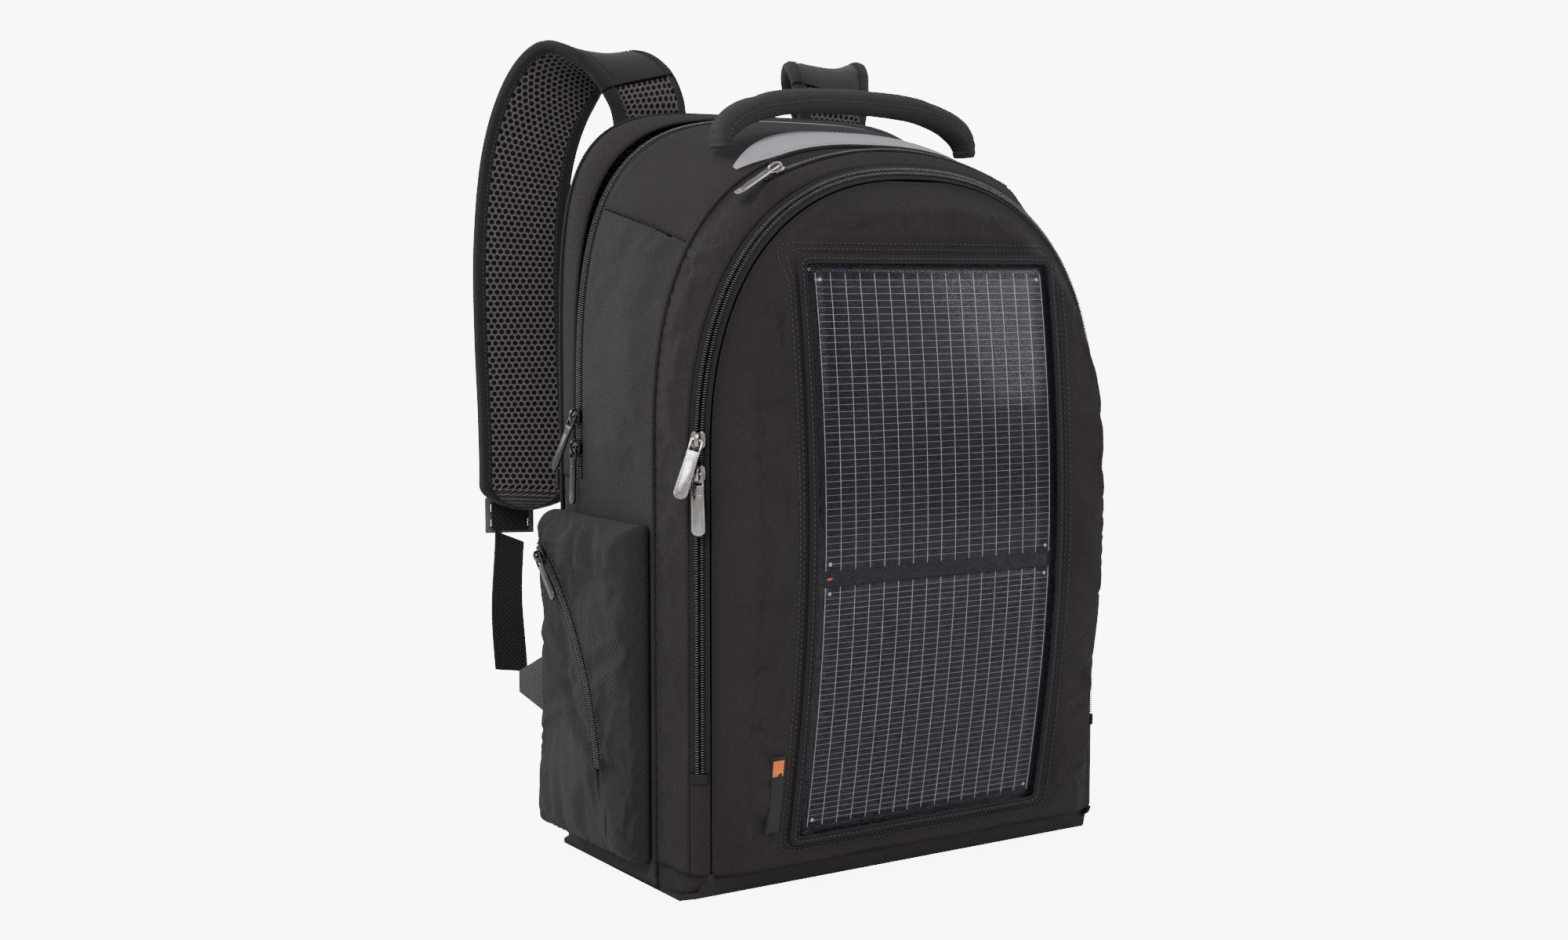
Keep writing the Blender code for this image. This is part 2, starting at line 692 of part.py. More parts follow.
def cover_edge(z):
    """Half width of the cover at height z: it reaches the front zip's inner tape."""
    half_width = FRONT_HALF_WIDTH - COVER_INSET
    if z <= SPRING_Z:
        return half_width
    rise = min((z - SPRING_Z) / (FRONT_TOP_Z - COVER_INSET - SPRING_Z), 1.0)
    return half_width * (1.0 - rise ** FRONT_POWER) ** (1.0 / FRONT_POWER)


def cover_depth(x, z):
    """Outer surface of the cover: the face inside, turning back to the zip near the edge."""
    reach = abs(x) / (FRONT_HALF_WIDTH - COVER_INSET)
    if z > SPRING_Z:
        rise = (z - SPRING_Z) / (FRONT_TOP_Z - COVER_INSET - SPRING_Z)
        reach = (reach ** FRONT_POWER + rise ** FRONT_POWER) ** (1.0 / FRONT_POWER)
    turn = smoothstep((reach - RIM_START) / (1.0 - RIM_START))
    return face_y(min(z, FACE_HEAD_Z)) * (1.0 - turn) + COVER_RIM_Y * turn


def cover_panel():
    top_z = FRONT_TOP_Z - COVER_INSET - COVER_BLUNT
    levels = face_levels(COVER_FOOT_Z, FACE_HEAD_Z)
    levels += [FACE_HEAD_Z + (top_z - FACE_HEAD_Z) * share for share in (0.3, 0.55, 0.75, 0.9, 1.0)]
    shares = (1.0, 0.975, 0.95, 0.92, 0.89, 0.70)
    shares = [-s for s in shares] + [0.0] + list(reversed(shares))
    front = []
    back = []
    for z in levels:
        edge = cover_edge(z)
        front.append([Vector((edge * s, cover_depth(edge * s, z), z)) for s in shares])
        back.append([Vector((edge * s, cover_depth(edge * s, z) + COVER_THICKNESS, z)) for s in shares])
    add_object("cover_panel", sheet_mesh(front, back), BLACK_FABRIC, 0.9, pivot=COVER_HINGE)


def face_loop(half_width, foot_z, head_z, offset):
    """A rectangle on the face, with a point on each bend."""
    levels = face_levels(foot_z, head_z)
    right = [Vector((half_width, face_y(z) + offset, z)) for z in levels]
    left = [Vector((-half_width, face_y(z) + offset, z)) for z in reversed(levels)]
    return right + left


def window():
    """From the cover outward: the two modules, the clear film and the binding around both."""
    inner_half = WINDOW_HALF_WIDTH - WINDOW_BINDING
    inner_foot = WINDOW_FOOT_Z + WINDOW_BINDING
    inner_head = WINDOW_HEAD_Z - WINDOW_BINDING
    module_half = inner_half - MODULE_SIDE_MARGIN
    behind = -GAP
    ahead = behind - MODULE_THICKNESS
    lower_head = MODULE_SPLIT_Z - MODULE_SPLIT / 2.0
    upper_foot = MODULE_SPLIT_Z + MODULE_SPLIT / 2.0
    spans = (
        ("solar_module_lower", inner_foot + MODULE_SIDE_MARGIN, lower_head),
        ("solar_module_upper", upper_foot, inner_head - MODULE_SIDE_MARGIN),
    )
    for name, foot_z, head_z in spans:
        plate = face_plate_mesh(-module_half, module_half, foot_z, head_z, ahead, behind)
        add_object(name, plate, CELL, 0.25, pivot=COVER_HINGE)
    film_back = ahead - GAP
    film_half = inner_half - GAP
    film = face_plate_mesh(
        -film_half,
        film_half,
        inner_foot + GAP,
        inner_head - GAP,
        film_back - FILM_THICKNESS,
        film_back,
    )
    add_object("window_film", film, (0.5, 0.52, 0.55), 0.15, pivot=COVER_HINGE)
    outer = face_loop(WINDOW_HALF_WIDTH, WINDOW_FOOT_Z, WINDOW_HEAD_Z, behind)
    levels = face_levels(WINDOW_FOOT_Z, WINDOW_HEAD_Z)
    heights = [min(max(z, inner_foot), inner_head) for z in levels]
    right = [Vector((inner_half, face_y(z) + behind, z)) for z in heights]
    left = [Vector((-inner_half, face_y(z) + behind, z)) for z in reversed(heights)]
    frame = ring_mesh(outer, right + left, (0.0, -BINDING_THICKNESS - MODULE_THICKNESS, 0.0))
    add_object("window_binding", frame, WEBBING, 0.6, pivot=COVER_HINGE)


def label_tab():
    half = LABEL_WIDTH / 2.0
    front = -GAP - LABEL_THICKNESS
    plate = face_plate_mesh(
        LABEL_X - half, LABEL_X + half, LABEL_FOOT_Z, LABEL_HEAD_Z, front, -GAP
    )
    add_object("label_tab", plate, WEBBING, 0.7, pivot=COVER_HINGE)


def controller():
    """Charge controller: open tray, board, USB socket and the lid that snaps on."""
    head_z = CASE_FOOT_Z + CASE_HEIGHT
    levels = face_levels(CASE_FOOT_Z, head_z)
    back_y = max(face_y(z) for z in levels) + COVER_THICKNESS + GAP
    half = CASE_WIDTH / 2.0
    socket_half = SOCKET_WIDTH / 2.0
    board_y = back_y + CASE_WALL + GAP
    socket_y = board_y + BOARD_THICKNESS + GAP
    mouth_y = socket_y + SOCKET_DEPTH
    rim_y = back_y + CASE_DEPTH
    xs = (-half, -half + CASE_WALL, -socket_half - GAP, socket_half + GAP, half - CASE_WALL, half)
    ys = (back_y, back_y + CASE_WALL, socket_y - GAP, mouth_y + GAP, rim_y)
    zs = (CASE_FOOT_Z, CASE_FOOT_Z + CASE_WALL, head_z - CASE_WALL, head_z)

    def tray(i, j, k):
        if j == 0:
            return True
        if k == 0 and i == 2 and j == 2:
            return False
        return i in (0, 4) or k in (0, 2)

    add_object("controller_tray", cells_mesh(xs, ys, zs, tray), PLASTIC, 0.5, pivot=COVER_HINGE)
    inset = CASE_WALL + GAP
    board_low = (-half + inset, board_y, CASE_FOOT_Z + inset)
    board_high = (half - inset, board_y + BOARD_THICKNESS, head_z - inset)
    board = box_mesh(board_low, board_high)
    add_object("controller_board", board, (0.02, 0.10, 0.04), 0.45, pivot=COVER_HINGE)
    wall = SOCKET_WALL
    xs = (-socket_half, -socket_half + wall, socket_half - wall, socket_half)
    ys = (socket_y, socket_y + wall, mouth_y - wall, mouth_y)
    zs = (CASE_FOOT_Z + GAP, CASE_FOOT_Z + SOCKET_LENGTH - wall, CASE_FOOT_Z + SOCKET_LENGTH)

    def shell(i, j, k):
        return k == 1 or i in (0, 2) or j in (0, 2)

    add_object("usb_socket", cells_mesh(xs, ys, zs, shell), STEEL, 0.3, 1.0, pivot=COVER_HINGE)
    lid_low = (-half, rim_y + GAP, CASE_FOOT_Z)
    lid_high = (half, rim_y + GAP + LID_THICKNESS, head_z)
    add_object("controller_lid", box_mesh(lid_low, lid_high), PLASTIC, 0.5, pivot=COVER_HINGE)


# ---------------------------------------------------------------- rear flap, straps, handle
def back_panel():
    """Upper part of the padded back, which opens backward with the straps on it."""
    y = BACK_Y
    start = parameter_at_z(MAIN_ZIP_END_Z + GAP)
    parameters = arch_parameters(start, 4.0 - start)
    points = [outline_point(y, u) for u in parameters]
    inner = [points, [p - outward(y, u) * 0.006 for p, u in zip(points, parameters)]]
    near_y = y
    edge_y = y + PAD_THICKNESS * 0.55
    far_y = y + PAD_THICKNESS
    bm = bmesh.new()
    foot_z = points[0].z
    loops = []
    for loop, depth in ((inner[0], near_y), (inner[0], edge_y), (inner[1], far_y)):
        loops.append([bm.verts.new((p.x, depth, max(p.z, foot_z))) for p in loop])
    bm.faces.new(loops[0])
    bm.faces.new(loops[2][::-1])
    for near, far in zip(loops, loops[1:]):
        for step in range(len(near)):
            after = (step + 1) % len(near)
            bm.faces.new((near[step], near[after], far[after], far[step]))
    add_object("back_panel", bm, BLACK_FABRIC, 0.95, pivot=FLAP_HINGE)


def rear_gusset():
    start = parameter_at_z(MAIN_ZIP_END_Z + GAP)
    parameters = arch_parameters(start, 4.0 - start)
    y_values = (MAIN_ZIP_Y + TAPE_WIDTH + GAP, BACK_Y - GAP)
    gusset = gusset_mesh(y_values, parameters, FABRIC)
    add_object("rear_gusset", gusset, BLACK_FABRIC, 0.9, pivot=FLAP_HINGE)


def strap_yoke():
    near = BACK_Y + PAD_THICKNESS + GAP
    low = (-YOKE_HALF_WIDTH, near, YOKE_FOOT_Z)
    high = (YOKE_HALF_WIDTH, near + YOKE_THICKNESS, YOKE_HEAD_Z)
    add_object("strap_yoke", box_mesh(low, high), BLACK_FABRIC, 0.9, pivot=FLAP_HINGE)


STRAP_BACK_Y = BACK_Y + PAD_THICKNESS   # the route is measured from the back panel
STRAP_ROUTE = (
    (0.0760, STRAP_BACK_Y + 0.0115, 0.4760),
    (0.0770, STRAP_BACK_Y + 0.0160, 0.5000),
    (0.0830, STRAP_BACK_Y + 0.0280, 0.5200),
    (0.0930, STRAP_BACK_Y + 0.0470, 0.5305),
    (0.1060, STRAP_BACK_Y + 0.0690, 0.5265),
    (0.1180, STRAP_BACK_Y + 0.0870, 0.5020),
    (0.1280, STRAP_BACK_Y + 0.0960, 0.4600),
    (0.1340, STRAP_BACK_Y + 0.0970, 0.4000),
    (0.1360, STRAP_BACK_Y + 0.0930, 0.3400),
    (0.1385, STRAP_BACK_Y + 0.0840, 0.2900),
    (0.1430, STRAP_BACK_Y + 0.0730, 0.2480),
    (0.1475, STRAP_BACK_Y + 0.0650, 0.2200),
)


def spline(points, per_span):
    """Catmull-Rom curve through the points."""
    points = [Vector(p) for p in points]
    padded = [points[0] * 2.0 - points[1]] + points + [points[-1] * 2.0 - points[-2]]
    curve = []
    for index in range(1, len(padded) - 2):
        a, b, c, d = padded[index - 1:index + 3]
        for step in range(per_span):
            t = step / per_span
            curve.append(
                0.5 * (2.0 * b + (c - a) * t + (2.0 * a - 5.0 * b + 4.0 * c - d) * t ** 2
                       + (3.0 * b - a - 3.0 * c + d) * t ** 3)
            )
    curve.append(points[-1])
    return curve


def band_mesh(curve, widths, thickness, across_of):
    """A flat band along a curve; across_of gives the direction of its width at a share."""
    rails = [[], [], [], []]
    last = len(curve) - 1
    for index, point in enumerate(curve):
        along = (curve[min(index + 1, last)] - curve[max(index - 1, 0)]).normalized()
        across = across_of(index / last)
        across = (across - along * across.dot(along)).normalized()
        normal = along.cross(across)
        half = widths[index] / 2.0
        corners = ((-half, -0.5), (half, -0.5), (half, 0.5), (-half, 0.5))
        for rail, (sideways, depth) in zip(rails, corners):
            rail.append(point + across * sideways + normal * depth * thickness)
    return rails_mesh(rails)


def shoulder_strap(name, side):
    route = [(x * side, y, z) for x, y, z in STRAP_ROUTE]
    curve = spline(route, 4)
    last = len(curve) - 1
    widths = []
    for index in range(len(curve)):
        share = index / last
        round_end = math.sqrt(max(1.0 - max((share - 0.955) / 0.045, 0.0) ** 2, 0.16))
        widths.append(STRAP_WIDTH * round_end * (0.86 + 0.14 * smoothstep(share * 5.0)))

    band = band_mesh(curve, widths, STRAP_THICKNESS, lambda share: strap_across(side, share))
    add_object(name, band, BLACK_FABRIC, 0.85, pivot=FLAP_HINGE)


def strap_across(side, share):
    """Direction of a strap's width: square at the root, turned a little outward below."""
    turn = STRAP_TURN * smoothstep((share - 0.12) / 0.35)
    return Vector((math.cos(turn), side * math.sin(turn), 0.0))


def lock_centre(side):
    """Middle of the ladder lock, behind the strap's lower end."""
    x, y, z = STRAP_ROUTE[-1]
    return Vector((side * (x + LOCK_OUT), y + LOCK_BACK, z - LOCK_DROP))


def lock_hinge(side):
    return lock_centre(side) + Vector((0.0, 0.0, LOCK_HEIGHT / 2.0 - LOCK_BAR / 2.0))


def ladder_lock(name, side):
    """A three-bar frame that the webbing threads through."""
    centre = lock_centre(side)
    half = LOCK_WIDTH / 2.0
    tall = LOCK_HEIGHT / 2.0
    xs = (-half, -half + LOCK_BAR, half - LOCK_BAR, half)
    slot = (LOCK_HEIGHT - 3.0 * LOCK_BAR) / 2.0
    zs = (-tall, -tall + LOCK_BAR, -tall + LOCK_BAR + slot, tall - LOCK_BAR - slot, tall - LOCK_BAR, tall)
    ys = (-LOCK_THICKNESS / 2.0, LOCK_THICKNESS / 2.0)
    bm = cells_mesh(xs, ys, zs, lambda i, j, k: i != 1 or k in (0, 2, 4))
    place = Matrix.Translation(centre) @ Matrix.Rotation(side * STRAP_TURN, 4, "Z")
    bmesh.ops.transform(bm, matrix=place, verts=bm.verts)
    add_object(name, bm, PLASTIC, 0.4, pivot=lock_hinge(side))


def strap_tab(name, side):
    """The short webbing that holds the ladder lock on the strap's outer face."""
    curve = spline([(x * side, y, z) for x, y, z in STRAP_ROUTE], 4)
    index = len(curve) - 1 - STRAP_TAB_STEPS
    along = (curve[index + 1] - curve[index - 1]).normalized()
    normal = along.cross(strap_across(side, 1.0)).normalized()
    if normal.y < 0.0:
        normal = -normal
    start = curve[index] + normal * (STRAP_THICKNESS / 2.0 + WEB_THICKNESS / 2.0 + STRAP_TAB_GAP)
    lift = LOCK_HEIGHT / 2.0 + WEB_THICKNESS / 2.0 + STRAP_TAB_GAP
    end = lock_centre(side) + Vector((0.0, 0.0, lift))
    across = strap_across(side, 1.0)
    start += across * across.dot(end - start)
    widths = [WEB_WIDTH] * 4
    line = [start.lerp(end, share) for share in linspace(0.0, 1.0, 4)]
    band = band_mesh(line, widths, WEB_THICKNESS, lambda share: across)
    add_object(name, band, WEBBING, 0.8, pivot=FLAP_HINGE)


def lower_webbing(name, side):
    """From the ladder lock's lower bar down to the wing's tip."""
    start = lock_centre(side) - Vector((0.0, 0.0, LOCK_HEIGHT / 2.0 + STRAP_TAB_GAP + WEB_THICKNESS))
    tip = Vector((side * WING_TIP.x, WING_TIP.y, WING_TIP.z))
    end = tip + Vector((0.0, 0.010, 0.006))
    middle = start.lerp(end, 0.5) + Vector((side * 0.004, -0.003, 0.0))
    curve = spline((start, middle, end), 6)
    band = band_mesh(curve, [WEB_WIDTH] * len(curve), WEB_THICKNESS, lambda share: Vector((1.0, 0.0, 0.0)))
    add_object(name, band, WEBBING, 0.8)


def wing(name, side):
    """The triangular tab that ties the webbing to the pack's lower rear corner."""
    near_y = BACK_Y + PAD_THICKNESS + GAP
    x = side * (BACK_HALF_WIDTH - 0.014)
    corners = ((x, near_y, WING_FOOT_Z), (x, near_y, WING_HEAD_Z))
    tip_half = WEB_WIDTH / 2.0 * 0.6
    tip_x = side * WING_TIP.x
    tips = ((tip_x, WING_TIP.y, WING_TIP.z + tip_half), (tip_x, WING_TIP.y, WING_TIP.z - tip_half))
    bm = bmesh.new()
    shift = Vector((side * WING_THICKNESS, 0.0, 0.0))
    near = [bm.verts.new(p) for p in corners + tips]
    far = [bm.verts.new(Vector(p) - shift) for p in corners + tips]
    bm.faces.new(near)
    bm.faces.new(far[::-1])
    for step in range(4):
        after = (step + 1) % 4
        bm.faces.new((near[step], near[after], far[after], far[step]))
    add_object(name, bm, (0.06, 0.06, 0.065), 0.85)


def top_handle():
    """A padded tube that arches over the grey panel."""
    stations = linspace(0.0, math.pi, 25)
    curve = []
    for angle in stations:
        c = math.cos(angle)
        s = math.sin(angle)
        radius = (abs(c) ** HANDLE_POWER + abs(s) ** HANDLE_POWER) ** (-1.0 / HANDLE_POWER)
        z = HANDLE_FOOT_Z + (HANDLE_TOP_Z - HANDLE_FOOT_Z) * s * radius
        curve.append(Vector((-HANDLE_HALF_SPAN * c * radius, HANDLE_Y, z)))
    rails = [[] for _ in range(10)]
    last = len(curve) - 1
    for index, point in enumerate(curve):
        along = (curve[min(index + 1, last)] - curve[max(index - 1, 0)]).normalized()
        across = Vector((0.0, 1.0, 0.0))
        normal = along.cross(across)
        squeeze = 0.80 + 0.20 * smoothstep(min(index, last - index) / 5.0)
        for number, rail in enumerate(rails):
            turn = 2.0 * math.pi * number / len(rails)
            sideways = math.cos(turn) * HANDLE_WIDTH / 2.0 * squeeze
            height = math.sin(turn) * HANDLE_HEIGHT / 2.0 * squeeze
            rail.append(point + across * sideways + normal * height)
    add_object("top_handle", rails_mesh(rails), BLACK_FABRIC, 0.95, pivot=HANDLE_HINGE, smooth=True)


# ---------------------------------------------------------------- side pockets
def pocket_x(y, z, side, inward=0.0):
    """Outer surface of a side pocket: a plateau with a rim that comes down to the panel."""
    edge = min(y - POCKET_FRONT_Y, POCKET_REAR_Y - y, z - POCKET_FOOT_Z, POCKET_HEAD_Z - z)
    share = min(max(edge / POCKET_RIM, 0.0), 1.0)
    rise = math.sqrt(max(1.0 - (1.0 - share) ** 2, 0.0))
    depth = POCKET_FABRIC + GAP + (POCKET_DEPTH - POCKET_FABRIC) * rise - inward
    return side * (MAIN_HALF_WIDTH + depth)


def pocket_arc(share, shift=0.0):
    """A point beside the pocket's zip line: share 0 is its foot, 1 its top."""
    angle = POCKET_ARC_FOOT + (POCKET_ARC_TOP - POCKET_ARC_FOOT) * share
    radius = POCKET_ARC_RADIUS + shift
    return POCKET_ARC_Y + radius * math.cos(angle), POCKET_ARC_Z + radius * math.sin(angle)


def polyline_point(corners, share):
    """The point at a share of the way along straight stretches."""
    lengths = [math.dist(a, b) for a, b in zip(corners, corners[1:])]
    left = share * sum(lengths)
    for (a, b), length in zip(zip(corners, corners[1:]), lengths):
        if left <= length:
            part = left / length
            return a[0] + (b[0] - a[0]) * part, a[1] + (b[1] - a[1]) * part
        left -= length
    return corners[-1]


def pocket_sheet(side, near_edge, far_edge):
    """A panel of the pocket between two edges, each a function of a share."""
    outer = []
    inner = []
    for share in linspace(0.0, 1.0, 19):
        ya, za = near_edge(share)
        yb, zb = far_edge(share)
        row_outer = []
        row_inner = []
        for part in (0.0, 0.25, 0.5, 0.68, 0.82, 0.92, 1.0):
            y = ya + (yb - ya) * part
            z = za + (zb - za) * part
            row_outer.append(Vector((pocket_x(y, z, side), y, z)))
            row_inner.append(Vector((pocket_x(y, z, side, POCKET_FABRIC), y, z)))
        outer.append(row_outer)
        inner.append(row_inner)
    return sheet_mesh(outer, inner)


def pocket(word, side):
    half = CHAIN_WIDTH / 2.0
    clear = half + GAP
    foot_y = pocket_arc(0.0)[0]
    rear_corners = [
        (foot_y, POCKET_FOOT_Z),
        (POCKET_REAR_Y, POCKET_FOOT_Z),
        (POCKET_REAR_Y, pocket_arc(1.0)[1] + 0.006),
    ]
    front_corners = [
        (foot_y - GAP, POCKET_FOOT_Z),
        (POCKET_FRONT_Y, POCKET_FOOT_Z),
        (POCKET_FRONT_Y, POCKET_HEAD_Z),
        (POCKET_REAR_Y, POCKET_HEAD_Z),
    ]
    flap = pocket_sheet(
        side,
        lambda share: pocket_arc(share, -clear),
        lambda share: polyline_point(rear_corners, share),
    )
    hinge = pocket_hinge(side)
    add_object(f"pocket_flap_{word}", flap, SIDE_FABRIC, 0.88, pivot=hinge)
    front = pocket_sheet(
        side,
        lambda share: pocket_arc(share, clear),
        lambda share: polyline_point(front_corners, share),
    )
    add_object(f"pocket_front_{word}", front, SIDE_FABRIC, 0.88)
    outer_x = side * POCKET_CHAIN_X
    rails = []
    for shift, depth in ((-half, 0.0), (half, 0.0), (half, CHAIN_HEIGHT), (-half, CHAIN_HEIGHT)):
        rail = []
        for share in linspace(0.0, 1.0, 15):
            y, z = pocket_arc(share, shift)
            rail.append(Vector((outer_x - side * depth, y, z)))
        rails.append(rail)
    add_object(f"pocket_zip_{word}", rails_mesh(rails), WEBBING, 0.55, pivot=hinge)


def pocket_hinge(side):
    return Vector((side * (MAIN_HALF_WIDTH + GAP), 0.0, POCKET_HINGE_Z))


# ---------------------------------------------------------------- sliders and pulls
def slider_mesh(flange_side):
    """Local frame: X across the chain, Y along it, Z out of the cloth, chain top at zero."""
    half_length = SLIDER_LENGTH / 2.0
    half_width = SLIDER_WIDTH / 2.0
    half_bridge = BRIDGE_WIDTH / 2.0
    flange = half_width - (CHAIN_WIDTH / 2.0 + GAP)
    low = -(CHAIN_HEIGHT - TAPE_HEIGHT) + GAP
    plate = GAP + SLIDER_PLATE
    top = plate + BRIDGE_HEIGHT
    xs = (-half_width, -half_width + flange, -half_bridge, half_bridge, half_width - flange, half_width)
    ys = (-half_length, -half_length + BRIDGE_POST, half_length - BRIDGE_POST, half_length)
    zs = (low, GAP, plate, top - BRIDGE_BAR, top)
    flange_column = 0 if flange_side < 0 else 4

    def filled(i, j, k):
        if k == 0:
            return i == flange_column
        if k == 1:
            return True
        if i != 2:
            return False
        return k == 3 or j in (0, 2)

    return cells_mesh(xs, ys, zs, filled)


PULL_AXIS_HEIGHT = GAP + SLIDER_PLATE + (BRIDGE_HEIGHT - BRIDGE_BAR) / 2.0


def pull_mesh():
    """Local frame: origin on the hinge, X across, tongue toward -Y, Z out of the cloth."""
    inner = BRIDGE_WIDTH / 2.0 + PULL_SIDE_GAP
    arm = inner + PULL_ARM
    half = PULL_THICKNESS / 2.0
    wide = PULL_WIDTH / 2.0
    bm = bmesh.new()
    shoulder = 0.0020
    tip = 0.0026
    outer = [
        (-arm, half),
        (-arm, -PULL_NECK + shoulder),
        (-wide * 0.86, -PULL_NECK - shoulder),
        (-wide, -PULL_LENGTH + tip * 2.2),
        (-wide * 0.72, -PULL_LENGTH + tip * 0.6),
        (-wide * 0.34, -PULL_LENGTH),
    ]
    outer += [(-x, y) for x, y in reversed(outer)]
    hole = [(-inner, -half), (-inner, -PULL_NECK), (inner, -PULL_NECK), (inner, -half)]
    hole_loop = [hole[0], hole[1], hole[1], hole[1], hole[1], hole[1]]
    hole_loop += [hole[2], hole[2], hole[2], hole[2], hole[2], hole[3]]
    levels = {}

    def vert(point, z):
        key = (round(point[0], 7), round(point[1], 7), z)
        if key not in levels:
            levels[key] = bm.verts.new((point[0], point[1], z))
        return levels[key]

    for z in (-half, half):
        for step in range(len(outer)):
            after = (step + 1) % len(outer)
            corners = [vert(outer[step], z), vert(outer[after], z)]
            corners.append(vert(hole_loop[after], z))
            if hole_loop[after] != hole_loop[step]:
                corners.append(vert(hole_loop[step], z))
            bm.faces.new(corners)
    for loop in (outer, hole):
        for step in range(len(loop)):
            after = (step + 1) % len(loop)
            low = (vert(loop[step], -half), vert(loop[after], -half))
            high = (vert(loop[after], half), vert(loop[step], half))
            bm.faces.new(low + high)
    return bm


def frame_matrix(origin, across, along, normal):
    """Columns are the local axes, placed at the origin."""
    made = Matrix((across, along, normal)).transposed().to_4x4()
    made.translation = origin
    return made


def slider_and_pull(word, origin, along, normal, flange_side, tilt_deg, lift_deg, colour):
    """A slider on its chain, and the pull that hangs from the slider's bridge."""
    along = along.normalized()
    normal = normal.normalized()
    across = along.cross(normal)
    slider = slider_mesh(flange_side)
    place = frame_matrix(origin, across, along, normal)
    bmesh.ops.transform(slider, matrix=place, verts=slider.verts)
    add_object(f"{word}_slider", slider, colour, 0.3, 1.0, pivot=origin)
    hinge = origin + normal * PULL_AXIS_HEIGHT
    pull = pull_mesh()
    tilt = Matrix.Rotation(math.radians(tilt_deg), 4, "Z")
    lift = Matrix.Rotation(math.radians(-lift_deg), 4, "X")
    place = frame_matrix(hinge, across, along, normal) @ tilt @ lift
    bmesh.ops.transform(pull, matrix=place, verts=pull.verts)
    add_object(f"{word}_pull", pull, colour, 0.25, 1.0, pivot=hinge)


FRONT_SLIDER_UPPER_Z = 0.2840
FRONT_SLIDER_LOWER_Z = 0.2640
FRONT_SLIDER_TRAVEL = 0.0250   # how far the upper front slider runs up the arch
MAIN_SLIDER_UPPER_Z = 0.2910
MAIN_SLIDER_LOWER_Z = 0.2710
TOP_SLIDER_ANGLE = math.radians(-22.5)
POCKET_SLIDER_SHARE = 0.93


def front_zip_height_point(z):
    """The front zip's line on the left of the arch, at height z."""
    rise = (z - SPRING_Z) / (FRONT_TOP_Z - SPRING_Z)
    x = -FRONT_HALF_WIDTH * (1.0 - rise ** FRONT_POWER) ** (1.0 / FRONT_POWER)
    return Vector((x, 0.0, z))


def front_slider_arc():
    """Centre and radius of the circle through the stretch that the upper slider runs on."""
    heights = [FRONT_SLIDER_UPPER_Z + FRONT_SLIDER_TRAVEL * share for share in (0.0, 0.5, 1.0)]
    low, middle, high = [front_zip_height_point(z) for z in heights]
    chord = high - low
    across = Vector((chord.z, 0.0, -chord.x)).normalized()
    sagitta = abs((middle - low).dot(across))
    radius = (chord.length ** 2 / 4.0 + sagitta ** 2) / (2.0 * sagitta)
    centre = (low + high) / 2.0 + across * (radius - sagitta)
    centre.y = FRONT_ZIP_Y
    return centre, radius


def front_upper_place():
    """Origin, direction and outward normal of the upper front slider."""
    centre, radius = front_slider_arc()
    side = front_zip_height_point(FRONT_SLIDER_UPPER_Z) - Vector((centre.x, 0.0, centre.z))
    side.normalize()
    origin = centre + side * radius
    along = Vector((side.z, 0.0, -side.x))
    return origin, along, (side - Vector((0.0, 1.0, 0.0))).normalized()


def sliders():
    up = Vector((0.0, 0.0, 1.0))
    origin, along, normal = front_upper_place()
    slider_and_pull("front_upper", origin, along, normal, COVER_SIDE, *PULL_POSES["front_upper"], STEEL)
    centre, normal, _ = front_zip_line(1.0)
    origin = Vector((centre.x, centre.y, FRONT_SLIDER_LOWER_Z))
    slider_and_pull("front_lower", origin, up, normal, COVER_SIDE, *PULL_POSES["front_lower"], STEEL)
    for word, z in (("main_upper", MAIN_SLIDER_UPPER_Z), ("main_lower", MAIN_SLIDER_LOWER_Z)):
        centre = outline_point(MAIN_ZIP_Y, 1.0)
        origin = Vector((centre.x, centre.y, z))
        normal = Vector((-1.0, 0.0, 0.0))
        slider_and_pull(word, origin, up, normal, FORWARD_SIDE, *PULL_POSES[word], GUNMETAL)
    origin = top_zip_point(TOP_SLIDER_ANGLE, CHAIN_HEIGHT)
    along = top_zip_point(TOP_SLIDER_ANGLE + 0.01) - top_zip_point(TOP_SLIDER_ANGLE - 0.01)
    normal = Vector((math.sin(TOP_SLIDER_ANGLE), 0.0, math.cos(TOP_SLIDER_ANGLE)))
    slider_and_pull("top", origin, along, normal, 1, *PULL_POSES["top"], STEEL)
    for word, side in SIDES:
        y, z = pocket_arc(POCKET_SLIDER_SHARE)
        after_y, after_z = pocket_arc(POCKET_SLIDER_SHARE + 0.01)
        origin = Vector((side * POCKET_CHAIN_X, y, z))
        along = Vector((0.0, after_y - y, after_z - z))
        normal = Vector((side, 0.0, 0.0))
        slider_and_pull(f"pocket_{word}", origin, along, normal, side, *PULL_POSES["pocket"], GUNMETAL)


# sideways tilt and lift of each pull as it hangs, in degrees
PULL_POSES = {
    "front_upper": (-13.0, 17.0),
    "front_lower": (2.0, 3.0),
    "main_upper": (-10.0, 18.0),
    "main_lower": (4.0, 4.0),
    "top": (10.0, -6.0),
    "pocket": (0.0, 5.0),
}
COVER_SIDE = 1
FORWARD_SIDE = 1
HANDLE_FOOT_Z = 3.0 * GAP + top_height(
    HANDLE_HALF_SPAN - HANDLE_HEIGHT / 2.0, HANDLE_Y + HANDLE_WIDTH / 2.0
)
COVER_HINGE = Vector((0.0, FACE_FOOT_Y + COVER_THICKNESS / 2.0, COVER_FOOT_Z))
FLAP_HINGE = Vector((0.0, BACK_Y + PAD_THICKNESS, MAIN_ZIP_END_Z))
HANDLE_HINGE = Vector((0.0, HANDLE_Y, HANDLE_FOOT_Z))


